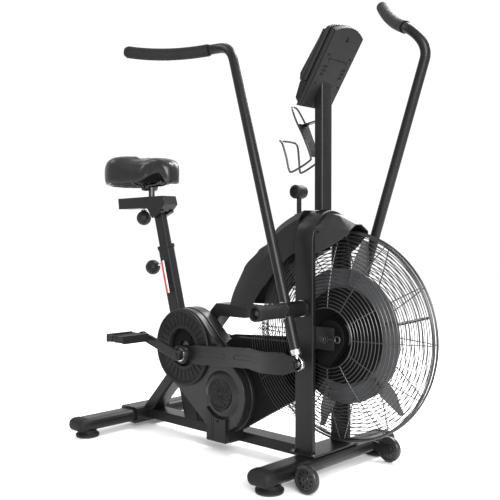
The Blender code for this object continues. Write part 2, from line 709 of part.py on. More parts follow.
def fan_lock(holder):
    """Push-down plunger with a cross handle, guided in the shroud."""
    x = LOCK_X
    knob = [(0, -0.0225), (0.013, -0.0225), (0.013, -0.021), (0.017, -0.0225), (0.0205, -0.019),
            (0.0205, 0.012), (0.014, 0.0205), (0, 0.0225)]
    piece = add("fan_lock_plunger", lathe(knob, (x, 0, LOCK_Z), "Y", 18), "textured_plastic", holder)
    unite(piece, lathe([(0, 0.700), (0.0072, 0.700), (0.0072, 0.800), (0, 0.800)], (x, 0, 0), "Z", 12))
    return piece


def top_cover():
    """Peaked plastic spout over the top of the guard, in front of the fork."""
    x0 = LEG_X1 + GAP
    wall = 0.003

    def ring(x, half, low, shoulder, ridge):
        outer = [(-half, low), (-half, shoulder), (0, ridge), (half, shoulder), (half, low)]
        inner = [(half - wall, low), (half - wall, shoulder - wall), (0, ridge - wall),
                 (-half + wall, shoulder - wall), (-half + wall, low)]
        return [(x, y, z) for y, z in outer + inner]

    rings = [ring(x0, 0.0845, 0.628, 0.712, 0.742), ring(x0 + 0.035, 0.071, 0.646, 0.706, 0.735),
             ring(x0 + 0.090, 0.046, 0.684, 0.6925, 0.7105)]
    return add("top_cover", skin(rings), "textured_plastic")


# ---------------------------------------------------------------- chain cases
def case_outer():
    """Outer tray over the crank chain, with the two axle holes."""
    wall = 0.003
    y0, y1 = CASE_Y
    piece = add("chain_case_outer", prism(hull_of_circles([(*COVER, 0.124), (*JACK, 0.106)]), y0, y1),
                "textured_plastic")
    cut(piece, prism(hull_of_circles([(*COVER, 0.121), (*JACK, 0.103)]), y0 + wall, y1 + 0.01))
    cut(piece, cylinder(COVER_HOLE_R, y0 - 0.01, y0 + 0.01, *COVER, 24))
    cut(piece, cylinder(0.020, y0 - 0.01, y0 + 0.01, *JACK, 16))
    return piece


def fan_case_arms(inset, sides=16):
    """Outlines of the long part: under the crank chain, round the fan axle, and round the chain itself."""
    knee = (FRONT_X - 0.050, 0.300, 0.0715 - inset)
    return (hull_of_circles([(*JACK, 0.121 - inset), (FRONT_X - 0.300, 0.300, 0.066 - inset), knee], sides),
            hull_of_circles([knee, (*FAN, 0.050 - inset)], sides),
            hull_of_circles([(*JACK, 0.090 - inset), (*FAN, 0.040 - inset)], sides))


def fan_case_solid(name, inset, wall):
    """Drum round both shafts and the arm to the fan, as one solid pulled in by `inset` and `wall`."""
    y1 = CASE2_Y[1] - wall
    drum = hull_of_circles([(*COVER, 0.128 - inset), (*JACK, 0.121 - inset)], 22)
    solid = tool(prism(drum, DRUM_Y + wall, y1), name)
    for outline in fan_case_arms(inset):
        unite(solid, prism(outline, CASE2_Y[0] + wall, y1))
    return solid


def fan_chain_case():
    """Inner layer: shell round the fan chain, with holes for the crank, the shaft and the fan axle."""
    wall = 0.0025
    y1 = CASE2_Y[1]
    drum = hull_of_circles([(*COVER, 0.128), (*JACK, 0.121)], 22)
    piece = add("fan_chain_case", prism(drum, DRUM_Y, y1), "textured_plastic")
    for outline in fan_case_arms(0.0):
        unite(piece, prism(outline, CASE2_Y[0], y1))
    hollow = piece.modifiers.new("hollow", "BOOLEAN")
    hollow.operation = "DIFFERENCE"
    hollow.object = fan_case_solid("fan_chain_case_hollow", wall, wall)
    cut(piece, cylinder(0.052, DRUM_Y - 0.01, y1 + 0.01, *COVER, 24))
    cut(piece, cylinder(0.024, DRUM_Y - 0.01, y1 + 0.01, *JACK, 16))
    cut(piece, cylinder(0.014, DRUM_Y - 0.01, y1 + 0.01, *FAN, 14))
    return piece


def crank_cover():
    """Dished round cover on the crank side with a wide centre hole."""
    y = CASE_Y[0] - GAP
    hole = COVER_HOLE_R
    profile = [(hole, y), (0.118, y), (0.1235, y - 0.008), (0.118, y - 0.011), (0.104, y - 0.004),
               (hole + 0.010, y - 0.004), (hole, y - 0.006)]
    return add("crank_cover", lathe(profile, (COVER[0], 0, COVER[1]), "Y", 32, closed=True), "textured_plastic")


def vent_cover():
    """Small round cover with a raised rim over the end of the intermediate shaft."""
    y = CASE_Y[0] - GAP
    profile = [(0, y), (0.051, y), (0.051, y - 0.005), (0.047, y - 0.010),
               (0.043, y - 0.010), (0.041, y - 0.007),
               (0, y - 0.007)]
    return add("vent_cover", lathe(profile, (VENT[0], 0, VENT[1]), "Y", 28), "textured_plastic")


def pedestal():
    """Bracket cover that carries the case on the beam's right side."""
    x0 = FRONT_X - 0.403
    x1 = FRONT_X - 0.306
    outline = [(x0, 0.041), (x1, 0.041), (x1, 0.110), (x0, 0.110)]
    piece = add("pedestal_bracket", prism(outline, -0.0870, -BEAM_HALF_W - GAP), "frame_paint")
    cut(piece, prism(hull_of_circles([(*COVER, 0.124 + GAP), (*JACK, 0.106 + GAP)]), -0.2, DRUM_Y))
    cut(piece, prism(hull_of_circles([(*COVER, 0.128 + GAP), (*JACK, 0.121 + GAP)], 22), DRUM_Y - GAP, -0.02))
    cut(piece, prism(fan_case_arms(-2 * GAP)[0], CASE2_Y[0] - GAP, -0.02))
    return piece


# ---------------------------------------------------------------- drive
def chain_loop(name, a, b, y0, y1, thick=0.006):
    """Closed chain round two sprockets, each (x, z, radius)."""
    outer = hull_of_circles([(a[0], a[1], a[2] + thick), (b[0], b[1], b[2] + thick)], 24)
    inner = hull_of_circles([a, b], 24)
    piece = add(name, prism(outer, y0, y1), "dark_steel")
    cut(piece, prism(inner, y0 - 0.01, y1 + 0.01))
    return piece


def jackshaft(holder):
    """Intermediate shaft with its small driven sprocket and its large driving sprocket."""
    profile = [(0, -0.0955), (0.0085, -0.0955), (0.0085, -0.0880), (PINION_R, -0.0880), (PINION_R, -0.0820),
               (0.0110, -0.0820), (0.0110, -0.0520), (WHEEL_SPROCKET_R, -0.0520), (WHEEL_SPROCKET_R, -0.0445),
               (0.0110, -0.0445), (0.0110, -0.0320), (0.0085, -0.0320), (0.0085, -0.026), (0, -0.026)]
    return add("jackshaft", lathe(profile, (JACK[0], 0, JACK[1]), "Y", 20), "dark_steel", holder)


def crank_axle(holder):
    profile = [(0, -0.1125), (0.0095, -0.1125), (0.0095, 0.1125), (0, 0.1125)]
    return add("crank_axle", lathe(profile, (CRANK[0], 0, CRANK[1]), "Y", 16), "bright_steel", holder)


def crank_bearing(name, y0, y1):
    profile = [(0.0103, y0), (0.0205, y0), (0.0205, y1), (0.0103, y1)]
    return add(name, lathe(profile, (CRANK[0], 0, CRANK[1]), "Y", 16, closed=True), "bright_steel")


def pin_point(side):
    """Crank pin of one side: the left one is half a turn away."""
    angle = CRANK_ANGLE + (math.pi if side > 0 else 0.0)
    return Vector((CRANK[0] + PIN_R * math.cos(angle), 0, CRANK[1] + PIN_R * math.sin(angle)))


def pedal_point(side):
    angle = PEDAL_ANGLE + (math.pi if side > 0 else 0.0)
    return Vector((CRANK[0] + PEDAL_R * math.cos(angle), 0, CRANK[1] + PEDAL_R * math.sin(angle)))


def crank_arm(holder, name, side):
    """Inner crank: a short arm from the axle to the link's pin; the right one carries the chainring."""
    pin = pin_point(side)
    y0, y1 = sorted((side * 0.1135, side * 0.1235))
    piece = add(name, prism(hull_of_circles([(*CRANK, 0.020), (pin.x, pin.z, 0.017)], 24), y0, y1),
                "dark_steel", holder)
    unite(piece, cylinder(0.0090, side * 0.122, side * 0.1585, pin.x, pin.z, 16))
    return piece


def chainring(holder):
    y0, y1 = -0.0880, -0.0820
    outline = circle(RING_R, 36, CRANK)
    piece = add("chainring", prism(outline, y0, y1), "dark_steel", holder)
    cut(piece, cylinder(0.0099, -0.2, 0.2, *CRANK, 16))
    return piece


def pedal_arm(holder, name, side):
    """Outer arm from the pin back past the axle to the pedal."""
    pin, pedal_at = pin_point(side), pedal_point(side)
    y0, y1 = sorted((side * (PEDAL_ARM_Y - 0.006), side * (PEDAL_ARM_Y + 0.006)))
    outline = hull_of_circles([(pin.x, pin.z, 0.0165), (pedal_at.x, pedal_at.z, 0.0145)], 24)
    piece = add(name, prism(outline, y0, y1), "frame_paint", holder)
    unite(piece, cylinder(0.0060, side * PEDAL_ARM_Y, side * 0.266, pedal_at.x, pedal_at.z, 16))
    return piece


def pedal(name, side, parent_holder):
    """Platform pedal: a block with a bore for the spindle and two open slots."""
    at = pedal_point(side)
    holder = empty(name + "_axis", (at.x, side * 0.24, at.z))
    y0, y1 = sorted((side * 0.178, side * 0.281))
    outline = [(at.x - 0.046, at.z - 0.008), (at.x - 0.042, at.z - 0.0130), (at.x + 0.042, at.z - 0.0130),
               (at.x + 0.046, at.z - 0.008), (at.x + 0.046, at.z + 0.008), (at.x + 0.042, at.z + 0.0130),
               (at.x - 0.042, at.z + 0.0130), (at.x - 0.046, at.z + 0.008)]
    piece = add(name, prism(outline, y0, y1), "textured_plastic", holder)
    cut(piece, cylinder(0.0064, side * 0.17, side * 0.268, at.x, at.z, 16))
    for dx in (-1, 1):
        lo, hi = sorted((at.x + dx * 0.014, at.x + dx * 0.036))
        a, b = sorted((side * 0.190, side * 0.270))
        cut(piece, box(lo, hi, a, b, at.z - 0.05, at.z + 0.05))
    return piece


def link(name, side):
    """Flat bar from the crank pin to the handle, joggled outwards near the front."""
    pin = pin_point(side)
    end = rod_point(side)
    length = (end - pin).length
    slope = math.atan2(end.z - pin.z, end.x - pin.x)
    holder = empty(name + "_axis", (pin.x, side * LINK_REAR_Y, pin.z))
    stations = [(0.024, LINK_REAR_Y, 0.024), (0.034, LINK_REAR_Y, LINK_HALF_H),
                (length - 0.220, LINK_REAR_Y, LINK_HALF_H),
                (length - 0.118, LINK_FRONT_Y, LINK_HALF_H),
                (length - 0.032, LINK_FRONT_Y, LINK_HALF_H),
                (length + 0.006, LINK_FRONT_Y, 0.017)]
    rings = []
    for along, y, half in stations:
        yi = side * (y - LINK_T / 2)
        yo = side * (y + LINK_T / 2)
        rings.append([(along, yi, -half), (along, yo, -half), (along, yo, half), (along, yi, half)])
    bm = skin(rings)
    turn = Matrix.Translation((pin.x, 0, pin.z)) @ Matrix.Rotation(-slope, 4, "Y")
    piece = add(name, spin_about(bm, turn), "frame_paint", holder)
    boss = cylinder(0.0290, side * (LINK_REAR_Y - 0.0065), side * 0.1535, pin.x, pin.z, 20)
    unite(piece, boss)
    cut(piece, cylinder(0.0096, side * 0.10, side * 0.20, pin.x, pin.z, 16))
    return piece


# ---------------------------------------------------------------- handles
def handle_frame(side):
    """Matrix from the handle's own axes (rearwards, outwards, up the tube) to the world."""
    lean = LEFT_LEAN if side > 0 else RIGHT_LEAN
    c, s = math.cos(lean), math.sin(lean)
    rearward = Vector((-c, 0, -s))
    outward = Vector((0, side, 0))
    up = Vector((-s, 0, c))
    rows = Matrix((rearward, outward, up)).transposed().to_4x4()
    return Matrix.Translation((PIVOT[0], side * HANDLE_Y, PIVOT[1])) @ rows


def rod_point(side):
    """Centre of the rod end's eye, in the middle plane."""
    point = handle_frame(side) @ Vector((0, 0, -ROCKER))
    return Vector((point.x, 0, point.z))


def bezier(points, steps):
    curve = []
    for k in range(steps + 1):
        t = k / steps
        level = list(points)
        while len(level) > 1:
            level = [a.lerp(b, t) for a, b in zip(level, level[1:])]
        curve.append(level[0])
    return curve


def handle_paths():
    """Tube path up to the grip, and the grip's own path, in the handle's axes."""
    backwards = (GRIP_START - GRIP_BEND).normalized()
    middle = [BEND_FROM + Vector((0, 0, 0.052)), GRIP_START + backwards * 0.044]
    bend = bezier([BEND_FROM, *middle, GRIP_START], 6)
    grip = bezier([GRIP_START, GRIP_BEND, GRIP_TIP], 7)
    return bend, grip


def handle(name, side, holder):
    """Handle tube with its pivot hub, from the rod end's socket to the end of the grip."""
    bend, grip = handle_paths()
    frame = handle_frame(side)
    local = [Vector((0, 0, -0.108))] + bend + grip[1:-1] + [grip[-2].lerp(grip[-1], 0.65)]
    path = [frame @ p for p in local]
    piece = add(name, sweep(path, circle(HANDLE_TUBE_R - 0.0008, 10), (0, 1, 0)), "frame_paint", holder)
    unite(piece, cylinder(0.0218, side * 0.1010, side * 0.1805, *PIVOT, 20))
    cut(piece, cylinder(0.0128, side * 0.09, side * 0.19, *PIVOT, 16))
    return piece


def grip(name, side, holder):
    """Foam sleeve over the tube's end, closed at the tip."""
    bend, path = handle_paths()
    frame = handle_frame(side)
    piece = add(name, sweep([frame @ p for p in path], circle(GRIP_R, 12), (0, 1, 0)), "rubber", holder)
    bore = [frame @ p for p in bend[-3:-1] + path[:-1] + [path[-2].lerp(path[-1], 0.75)]]
    cut(piece, sweep(bore, circle(HANDLE_TUBE_R + 0.0002, 10), (0, 1, 0)))
    return piece


def rod_end(name, side, holder):
    """Spherical rod end screwed into the bottom of the handle tube."""
    frame = handle_frame(side)
    centre = frame @ Vector((0, 0, -ROCKER))
    ring = [(0.0100, -0.006), (0.0180, -0.006), (0.0195, -0.004), (0.0195, 0.004), (0.0180, 0.006),
            (0.0100, 0.006)]
    piece = add(name, lathe(ring, centre, "Y", 16, closed=True), "bright_steel", holder)
    shank = lathe([(0, -0.132), (0.0085, -0.132), (0.0085, -0.124), (0.0155, -0.124), (0.0155, -0.1085),
                   (0, -0.1085)],
                  (0, 0, 0), "Z", 12)
    unite(piece, spin_about(shank, frame))
    return piece


def foot_peg(name, side):
    """Fixed pivot shaft bolted to the fork leg, with the foot peg sleeve on its outer end."""
    leg = LEG_OUTER_Y + GAP
    profile = [(0, side * leg), (0.0200, side * leg), (0.0200, side * (leg + 0.006)),
               (0.0122, side * (leg + 0.006)), (0.0122, side * 0.1825), (0.0215, side * 0.1825),
               (0.0215, side * 0.2940), (0.0175, side * 0.2940),
               (0.0175, side * 0.2800), (0.0060, side * 0.2800), (0.0060, side * 0.2870), (0, side * 0.2870)]
    return add(name, lathe(profile, (PIVOT[0], 0, PIVOT[1]), "Y", 20), "rubber")


# ---------------------------------------------------------------- console and bottle cage
def console_back():
    return (FRONT_X - 0.046, 1.046), (FRONT_X + 0.080, 1.242)


def console_point(along, out):
    """A point on the console's lower panel: metres up the panel and out from it, in the middle plane."""
    base = Vector((FRONT_X - 0.0715, 0, 1.0770))
    up = Vector((0.349, 0, 0.937))
    normal = Vector((-0.937, 0, 0.349))
    return base + up * along + normal * out


def console():
    b0, b1 = console_back()
    x = FRONT_X
    outline = [b0, b1, (x + 0.062, 1.260), (x + 0.034, 1.260), (x - 0.054, 1.143), (x - 0.0565, 1.1175),
               (x - 0.0725, 1.0745), (x - 0.069, 1.051)]
    piece = add("console_housing", prism(outline, -0.065, 0.065), "textured_plastic")
    for y in BUTTON_Y:
        pocket = lathe([(0, -0.005), (0.0058, -0.005), (0.0058, 0.02), (0, 0.02)], (0, 0, 0), "Z", 12)
        cut(piece, spin_about(pocket, button_matrix(y)))
    return piece


def button_matrix(y):
    point = console_point(0.022, 0.0)
    return Matrix.Translation((point.x, y, point.z)) @ Matrix.Rotation(-BUTTON_ANGLE, 4, "Y")


def console_display():
    """Clear window over the read-out, just proud of the housing."""
    x = FRONT_X
    top = Vector((x + 0.034, 0, 1.260))
    low = Vector((x - 0.054, 0, 1.143))
    run = (top - low).normalized()
    normal = Vector((-run.z, 0, run.x))
    corners = []
    for along, out in ((0.018, GAP), (0.128, GAP), (0.128, 0.0024), (0.018, 0.0024)):
        p = low + run * along + normal * out
        corners.append((p.x, p.z))
    return add("console_display", prism(corners, -0.048, 0.048), "display")


def console_button(name, y):
    holder = empty(name + "_axis", button_matrix(y).translation)
    profile = [(0, -0.0028), (0.0052, -0.0028), (0.0052, 0.0016), (0.0042, 0.0026), (0, 0.0026)]
    bm = lathe(profile, (0, 0, 0), "Z", 12)
    return add(name, spin_about(bm, button_matrix(y)), "button", holder)


def bottle_cage():
    """Bent wire cage on a flat plate and strap behind the mast."""
    x = FRONT_X
    half = [(-0.123, -0.012, 1.053), (-0.104, -0.019, 1.018), (-0.073, -0.019, 0.962),
            (-0.049, -0.019, 0.908), (-0.056, -0.020, 0.892), (-0.112, -0.023, 0.867),
            (-0.125, -0.025, 0.873), (-0.132, -0.029, 0.910), (-0.143, -0.034, 0.950),
            (-0.158, -0.027, 0.960)]
    right = [(x + a, b, c) for a, b, c in half]
    left = [(a, -b, c) for a, b, c in reversed(right)]
    loop = right + [(x - 0.176, 0.0, 0.963)] + left + [(x - 0.130, 0.0, 1.060)]
    wire = sweep(smooth_path(loop, 2, closed=True), circle(0.0027, 6), closed=True)
    piece = add("bottle_cage", wire, "frame_paint")
    plate = [(x - 0.0925, 1.004), (x - 0.0885, 1.0055), (x - 0.0455, 0.9075), (x - 0.0495, 0.9060)]
    unite(piece, prism(plate, -0.0205, 0.0205))
    strap = [(x - 0.0900, 1.0000), (x - 0.0335 - GAP, 1.0080), (x - 0.0335 - GAP, 1.0120), (x - 0.0895, 1.0040)]
    unite(piece, prism(strap, -0.0100, 0.0100))
    return piece


# ---------------------------------------------------------------- assembly
def build_base():
    front = stabilizer("front_stabilizer", FRONT_X)
    rear = stabilizer("rear_stabilizer", REAR_X)
    rear_sleeve(rear)
    notch = BEAM_HALF_W + GAP
    cut(rear, box(REAR_X + STABILIZER_W / 2, REAR_X + 0.2, -notch, notch, 0, BEAM_Z1 + GAP))
    main_beam()
    for end, x in (("front", FRONT_X), ("rear", REAR_X)):
        for label, side in (("right", -1), ("left", 1)):
            foot_cap(end + "_foot_" + label, x, side)
    for label, side in (("right", -1), ("left", 1)):
        wheel_bracket(front, side)
        transport_wheel("transport_wheel_" + label, side)


def build_seat():
    post_axis = empty("seat_post_axis", along_seat(0.0))
    seat_post(post_axis)
    seat_carriage(post_axis)
    slide_axis = empty("saddle_slide_axis", (SADDLE_STEM_X, 0, SADDLE_STEM_Z))
    saddle_clamp(slide_axis)
    saddle(slide_axis)
    lower = along_seat(KNOB_ALONG, -KNOB_OUT)
    lower_axis = empty("seat_height_knob_axis", lower)
    ball_knob("seat_height_knob", lower_axis, Matrix.Translation(lower) @ Matrix.Rotation(-SEAT_LEAN, 4, "Y"),
              KNOB_OUT - SEAT_POST_W / 2 - 0.0006)
    upper = Vector((FRONT_X - 0.831, 0, 0.7405))
    upper_axis = empty("saddle_slide_knob_axis", upper)
    upright = Matrix.Translation(upper) @ Matrix.Rotation(-math.pi / 2, 4, "Y")
    ball_knob("saddle_slide_knob", upper_axis, upright, 0.0485)


def build_fan():
    axis = empty("fan_axis", (FAN[0], 0, FAN[1]))
    fan_wheel(axis)
    fan_axle(axis)
    guard("guard_right", -1)
    guard("guard_left", 1)
    rear_shroud()
    top_cover()
    fan_lock(empty("fan_lock_axis", (LOCK_X, 0, LOCK_Z)))


def build_drive():
    case_outer()
    fan_chain_case()
    crank_cover()
    vent_cover()
    pedestal()
    first = (*CRANK, RING_R + 0.0009), (*JACK, PINION_R + 0.0007)
    second = (*JACK, WHEEL_SPROCKET_R + 0.0009), (*FAN, FAN_SPROCKET_R + 0.0007)
    chain_loop("crank_chain", *first, -0.0885, -0.0815)
    chain_loop("fan_chain", *second, -0.0525, -0.0440)
    jackshaft(empty("jackshaft_axis", (JACK[0], 0, JACK[1])))
    crank_bearing("crank_bearing_right", -0.0325, -0.0185)
    crank_bearing("crank_bearing_left", 0.0600, 0.0745)
    axis = empty("crank_axis", (CRANK[0], 0, CRANK[1]))
    crank_axle(axis)
    chainring(axis)
    for label, side in (("right", -1), ("left", 1)):
        crank_arm(axis, "crank_arm_" + label, side)
        pedal_arm(axis, "pedal_arm_" + label, side)
        pedal("pedal_" + label, side, axis)
        link("link_" + label, side)


def build_handles():
    for label, side in (("right", -1), ("left", 1)):
        axis = empty("handle_axis_" + label, (PIVOT[0], side * HANDLE_Y, PIVOT[1]))
        handle("handle_" + label, side, axis)
        grip("grip_" + label, side, axis)
        rod_end("rod_end_" + label, side, axis)
        foot_peg("foot_peg_" + label, side)


def build_console():
    console()
    console_display()
    console_button("console_button_right", BUTTON_Y[0])
    console_button("console_button_left", BUTTON_Y[1])
    bottle_cage()


def main():
    clear_scene()
    build_base()
    diagonal_strut()
    seat_tube()
    upper_beam()
    fork()
    mast()
    build_seat()
    build_fan()
    build_drive()
    build_handles()
    build_console()


main()
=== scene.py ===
"""Looks of the air bike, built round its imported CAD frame.

Frame: +X towards the fan, +Y to the rider's left, +Z up, floor at z = 0. Metres throughout.
"""
import json
import math

import bmesh
import bpy
from mathutils import Matrix, Vector
from mathutils.bvhtree import BVHTree


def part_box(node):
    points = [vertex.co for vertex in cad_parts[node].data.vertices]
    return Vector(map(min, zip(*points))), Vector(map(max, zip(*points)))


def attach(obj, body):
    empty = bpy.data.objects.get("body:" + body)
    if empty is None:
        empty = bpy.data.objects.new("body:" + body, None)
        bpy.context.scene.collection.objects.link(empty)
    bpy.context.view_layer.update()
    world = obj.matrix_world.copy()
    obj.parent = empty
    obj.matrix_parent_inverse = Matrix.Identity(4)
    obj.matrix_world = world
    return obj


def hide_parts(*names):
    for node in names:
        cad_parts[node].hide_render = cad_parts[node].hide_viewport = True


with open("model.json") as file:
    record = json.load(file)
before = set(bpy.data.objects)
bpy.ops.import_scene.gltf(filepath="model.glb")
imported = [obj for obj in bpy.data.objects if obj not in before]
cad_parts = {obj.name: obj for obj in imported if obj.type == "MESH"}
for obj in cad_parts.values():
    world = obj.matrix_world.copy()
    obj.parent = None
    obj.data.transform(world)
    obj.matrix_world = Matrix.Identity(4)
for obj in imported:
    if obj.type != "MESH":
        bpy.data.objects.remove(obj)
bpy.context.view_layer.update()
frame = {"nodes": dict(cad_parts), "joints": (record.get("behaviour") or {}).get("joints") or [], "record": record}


# ---------------------------------------------------------------- places taken from the frame
def joint_place(name):
    joint = next(j for j in frame["joints"] if j["name"] == name)
    return Vector(joint["pos_m"])


def middle(node):
    low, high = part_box(node)
    return (low + high) / 2


FRONT_X = middle("front_foot_right").x
REAR_X = middle("rear_foot_right").x
CRANK = joint_place("crank_spin")
JACK = joint_place("jackshaft_spin")
FAN = joint_place("fan_spin")
PIVOT = joint_place("handle_right_swing")
COVER = middle("crank_cover")
VENT = middle("vent_cover")
WHEEL_R = 0.038

GUARD_R = 0.298
GUARD_HUB_R = 0.084
GUARD_HUB_Y = 0.073
GUARD_RIM_Y = 0.01
CASE_CLEAR_Y = 0.0645
GUARD_RIM_R = GUARD_R - 0.003
RINGS = 22
SPOKES = 12
RING_WIRE_R = 0.00135
HUB_WIRE_R = 0.0022
SPOKE_WIRE_R = 0.0015

JACK_CASE_R = 0.121
VENT_DRUM_X = VENT.x + 0.004
VENT_DRUM_Z = VENT.z - 0.003
VENT_DRUM_R = 0.074

VANES = 6
VANE_START = math.radians(15.0)
VANE_INNER_R = 0.15
VANE_LENGTH = 0.126

HANDLE_Y = 0.163
HANDLE_R = 0.015
GRIP_R = 0.0185
ROCKER = 0.148
LEANS = {-1: math.radians(15.9), 1: math.radians(-18.2)}
SIDES = {"right": -1, "left": 1}
SHARP = math.radians(35.0)

LINK_REAR_Y = 0.131
LINK_FRONT_Y = 0.1835
LINK_T = 0.008
LINK_HALF_H = 0.03
PEDAL_ARM_Y = 0.165

LEG_OUTER_Y = 0.0915
LEG_T = 0.0157
LEG_X0 = FRONT_X - 0.0467
LEG_X1 = FRONT_X + 0.0173
FORK_CENTRE_Z = 0.66
FORK_FOOT_Z = 0.0665

SEAT_LEAN = math.radians(15.5)
TUBE_TOP = Vector((FRONT_X - 0.7085, 0, 0.635))
KNOB_REACH = 0.0886

SADDLE_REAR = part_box("saddle")[0].x
SADDLE_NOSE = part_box("saddle")[1].x
SADDLE_REAR_HALF = 0.124
SADDLE_NOSE_HALF = 0.058
SADDLE_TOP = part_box("saddle")[1].z
SADDLE_LOW = 0.85
CLAMP_X = FRONT_X - 0.787
PAD_VOXEL = 0.0045
PAD_RISE = 0.006
PAD_PRESSURE = 4.0
PAD_FRAMES = 20

SHROUD_OUTER = ((100.0, 0.369), (122.0, 0.367), (133.0, 0.354), (140.0, 0.366), (152.0, 0.385),
                (172.0, 0.405))
SHROUD_SHOULDER = ((100.0, 0.345), (124.0, 0.34), (134.0, 0.315), (172.0, 0.338))
SHROUD_INNER = ((100.0, 0.258), (140.0, 0.262), (172.0, 0.292))


# ---------------------------------------------------------------- materials
MOTTLE_SCALE = 38.0
GLOSS_SCALE = 120.0


def surface(name, colour, rough, metallic=0.0, grain=None, mottle=0.12, stretch=(1, 1, 1), coat=0.0,
            sheen=0.0, cells=False, rough_spread=0.06, specular=0.17):
    """Principled material with mottled colour, uneven gloss and a fine bump, made in object space."""
    material = bpy.data.materials.new(name)
    material.use_nodes = True
    tree = material.node_tree
    shader = tree.nodes["Principled BSDF"]
    place = tree.nodes.new("ShaderNodeTexCoord")
    scale = tree.nodes.new("ShaderNodeMapping")
    scale.inputs["Scale"].default_value = stretch
    tree.links.new(place.outputs["Object"], scale.inputs["Vector"])

    def noise(size, detail):
        node = tree.nodes.new("ShaderNodeTexNoise")
        node.inputs["Scale"].default_value = size
        node.inputs["Detail"].default_value = detail
        tree.links.new(scale.outputs["Vector"], node.inputs["Vector"])
        return node.outputs["Fac"]

    ramp = tree.nodes.new("ShaderNodeValToRGB")
    dark = [c * (1 - mottle) for c in colour]
    light = [min(1.0, c * (1 + mottle) + 0.0005) for c in colour]
    ramp.color_ramp.elements[0].position = 0.3
    ramp.color_ramp.elements[1].position = 0.72
    ramp.color_ramp.elements[0].color = (*dark, 1)
    ramp.color_ramp.elements[1].color = (*light, 1)
    tree.links.new(noise(MOTTLE_SCALE, 5.0), ramp.inputs["Fac"])
    tree.links.new(ramp.outputs["Color"], shader.inputs["Base Color"])

    gloss = tree.nodes.new("ShaderNodeMapRange")
    gloss.inputs["To Min"].default_value = max(0.02, rough - rough_spread)
    gloss.inputs["To Max"].default_value = min(1.0, rough + rough_spread)
    tree.links.new(noise(GLOSS_SCALE, 3.0), gloss.inputs["Value"])
    tree.links.new(gloss.outputs["Result"], shader.inputs["Roughness"])

    if grain:
        size, strength, depth = grain
        if cells:
            source = tree.nodes.new("ShaderNodeTexVoronoi")
            source.feature = "DISTANCE_TO_EDGE"
            source.inputs["Scale"].default_value = size
            tree.links.new(scale.outputs["Vector"], source.inputs["Vector"])
            height = source.outputs["Distance"]
        else:
            height = noise(size, 2.0)
        bump = tree.nodes.new("ShaderNodeBump")
        bump.inputs["Strength"].default_value = strength
        bump.inputs["Distance"].default_value = depth
        tree.links.new(height, bump.inputs["Height"])
        tree.links.new(bump.outputs["Normal"], shader.inputs["Normal"])
    shader.inputs["Metallic"].default_value = metallic
    shader.inputs["Specular IOR Level"].default_value = 0.5 if metallic else specular
    shader.inputs["Coat Weight"].default_value = coat
    shader.inputs["Coat Roughness"].default_value = 0.18
    shader.inputs["Sheen Weight"].default_value = sheen
    return material


MATERIALS = {
    "frame_paint": surface("powder_coat", (0.006, 0.006, 0.0065), 0.3, grain=(900, 0.2, 0.0006)),
    "textured_plastic": surface("moulded_plastic", (0.006, 0.006, 0.0065), 0.5, grain=(1500, 0.3, 0.0005),
                                cells=True),
    "rubber": surface("black_rubber", (0.0065, 0.0065, 0.0065), 0.62, grain=(1300, 0.35, 0.0006)),
    "bright_steel": surface("plated_steel", (0.5, 0.5, 0.52), 0.26, 1.0, grain=(700, 0.1, 0.0004),
                            stretch=(1, 6, 1)),
    "dark_steel": surface("oiled_steel", (0.06, 0.06, 0.064), 0.38, 1.0, grain=(600, 0.12, 0.0004),
                          stretch=(1, 5, 1)),
    "fan_paint": surface("fan_paint", (0.044, 0.045, 0.047), 0.42, grain=(800, 0.15, 0.0005)),
    "vinyl": surface("saddle_vinyl", (0.0065, 0.0065, 0.007), 0.3, grain=(620, 0.25, 0.0005),
                     cells=True, coat=0.25),
    "tread": surface("wheel_moulding", (0.014, 0.014, 0.015), 0.24, grain=(500, 0.08, 0.0004), coat=0.25),
    "display": surface("display_window", (0.016, 0.024, 0.021), 0.1, grain=(60, 0.03, 0.0005), coat=0.6,
                       mottle=0.3),
    "button": surface("button_moulding", (0.42, 0.045, 0.035), 0.42, grain=(1200, 0.2, 0.0005)),
    "wire": surface("coated_wire", (0.007, 0.007, 0.0074), 0.33, grain=(700, 0.1, 0.0004), specular=0.5),
}
# Lighter, glossier copy of the moulded plastic: the gloss is real, the lighter colour is a painted highlight on
# covers, ridges and slot outlines.
SATIN_PLASTIC_WITH_PAINTED_HIGHLIGHT = surface("satin_plastic_with_painted_highlight", (0.009, 0.009, 0.0096), 0.32, grain=(1200, 0.16, 0.0005),
                        cells=True, coat=0.12)
# Near-black painted shade, laid where holes, grooves, recesses, seams and the saddle's hollow fall into shade.
PAINTED_RECESS_SHADE = surface("painted_recess_shade", (0.003, 0.003, 0.003), 0.85, grain=(400, 0.2, 0.0005), specular=0.1)
# Darker copy of the moulded plastic: near-black plastic on the fan dish and the case arms, and painted shade in
# the console's middle gap and the crank cover's recess.
BLACK_PLASTIC_AND_SHADE = surface("black_plastic_and_painted_shade", (0.0025, 0.0025, 0.0027), 0.6, grain=(1400, 0.3, 0.0005),
                        cells=True, specular=0.08)
STRIPE_RED = surface("stripe_red", (0.55, 0.035, 0.03), 0.4, grain=(900, 0.15, 0.0005))
STRIPE_PALE = surface("stripe_pale", (0.72, 0.72, 0.72), 0.4, grain=(900, 0.15, 0.0005))
FOOT_GREY = surface("foot_grey", (0.05, 0.05, 0.052), 0.55, grain=(900, 0.25, 0.0005))

SLOT_OF = {row["node"]: row["material_slot"] for row in frame["record"]["subparts"]}
BODY_OF = {node: body for body, nodes in frame["record"]["behaviour"]["bodies"].items() for node in nodes}


def dress_cad_nodes():
    for node, piece in frame["nodes"].items():
        piece.data.materials.clear()
        piece.data.materials.append(MATERIALS[SLOT_OF[node]])


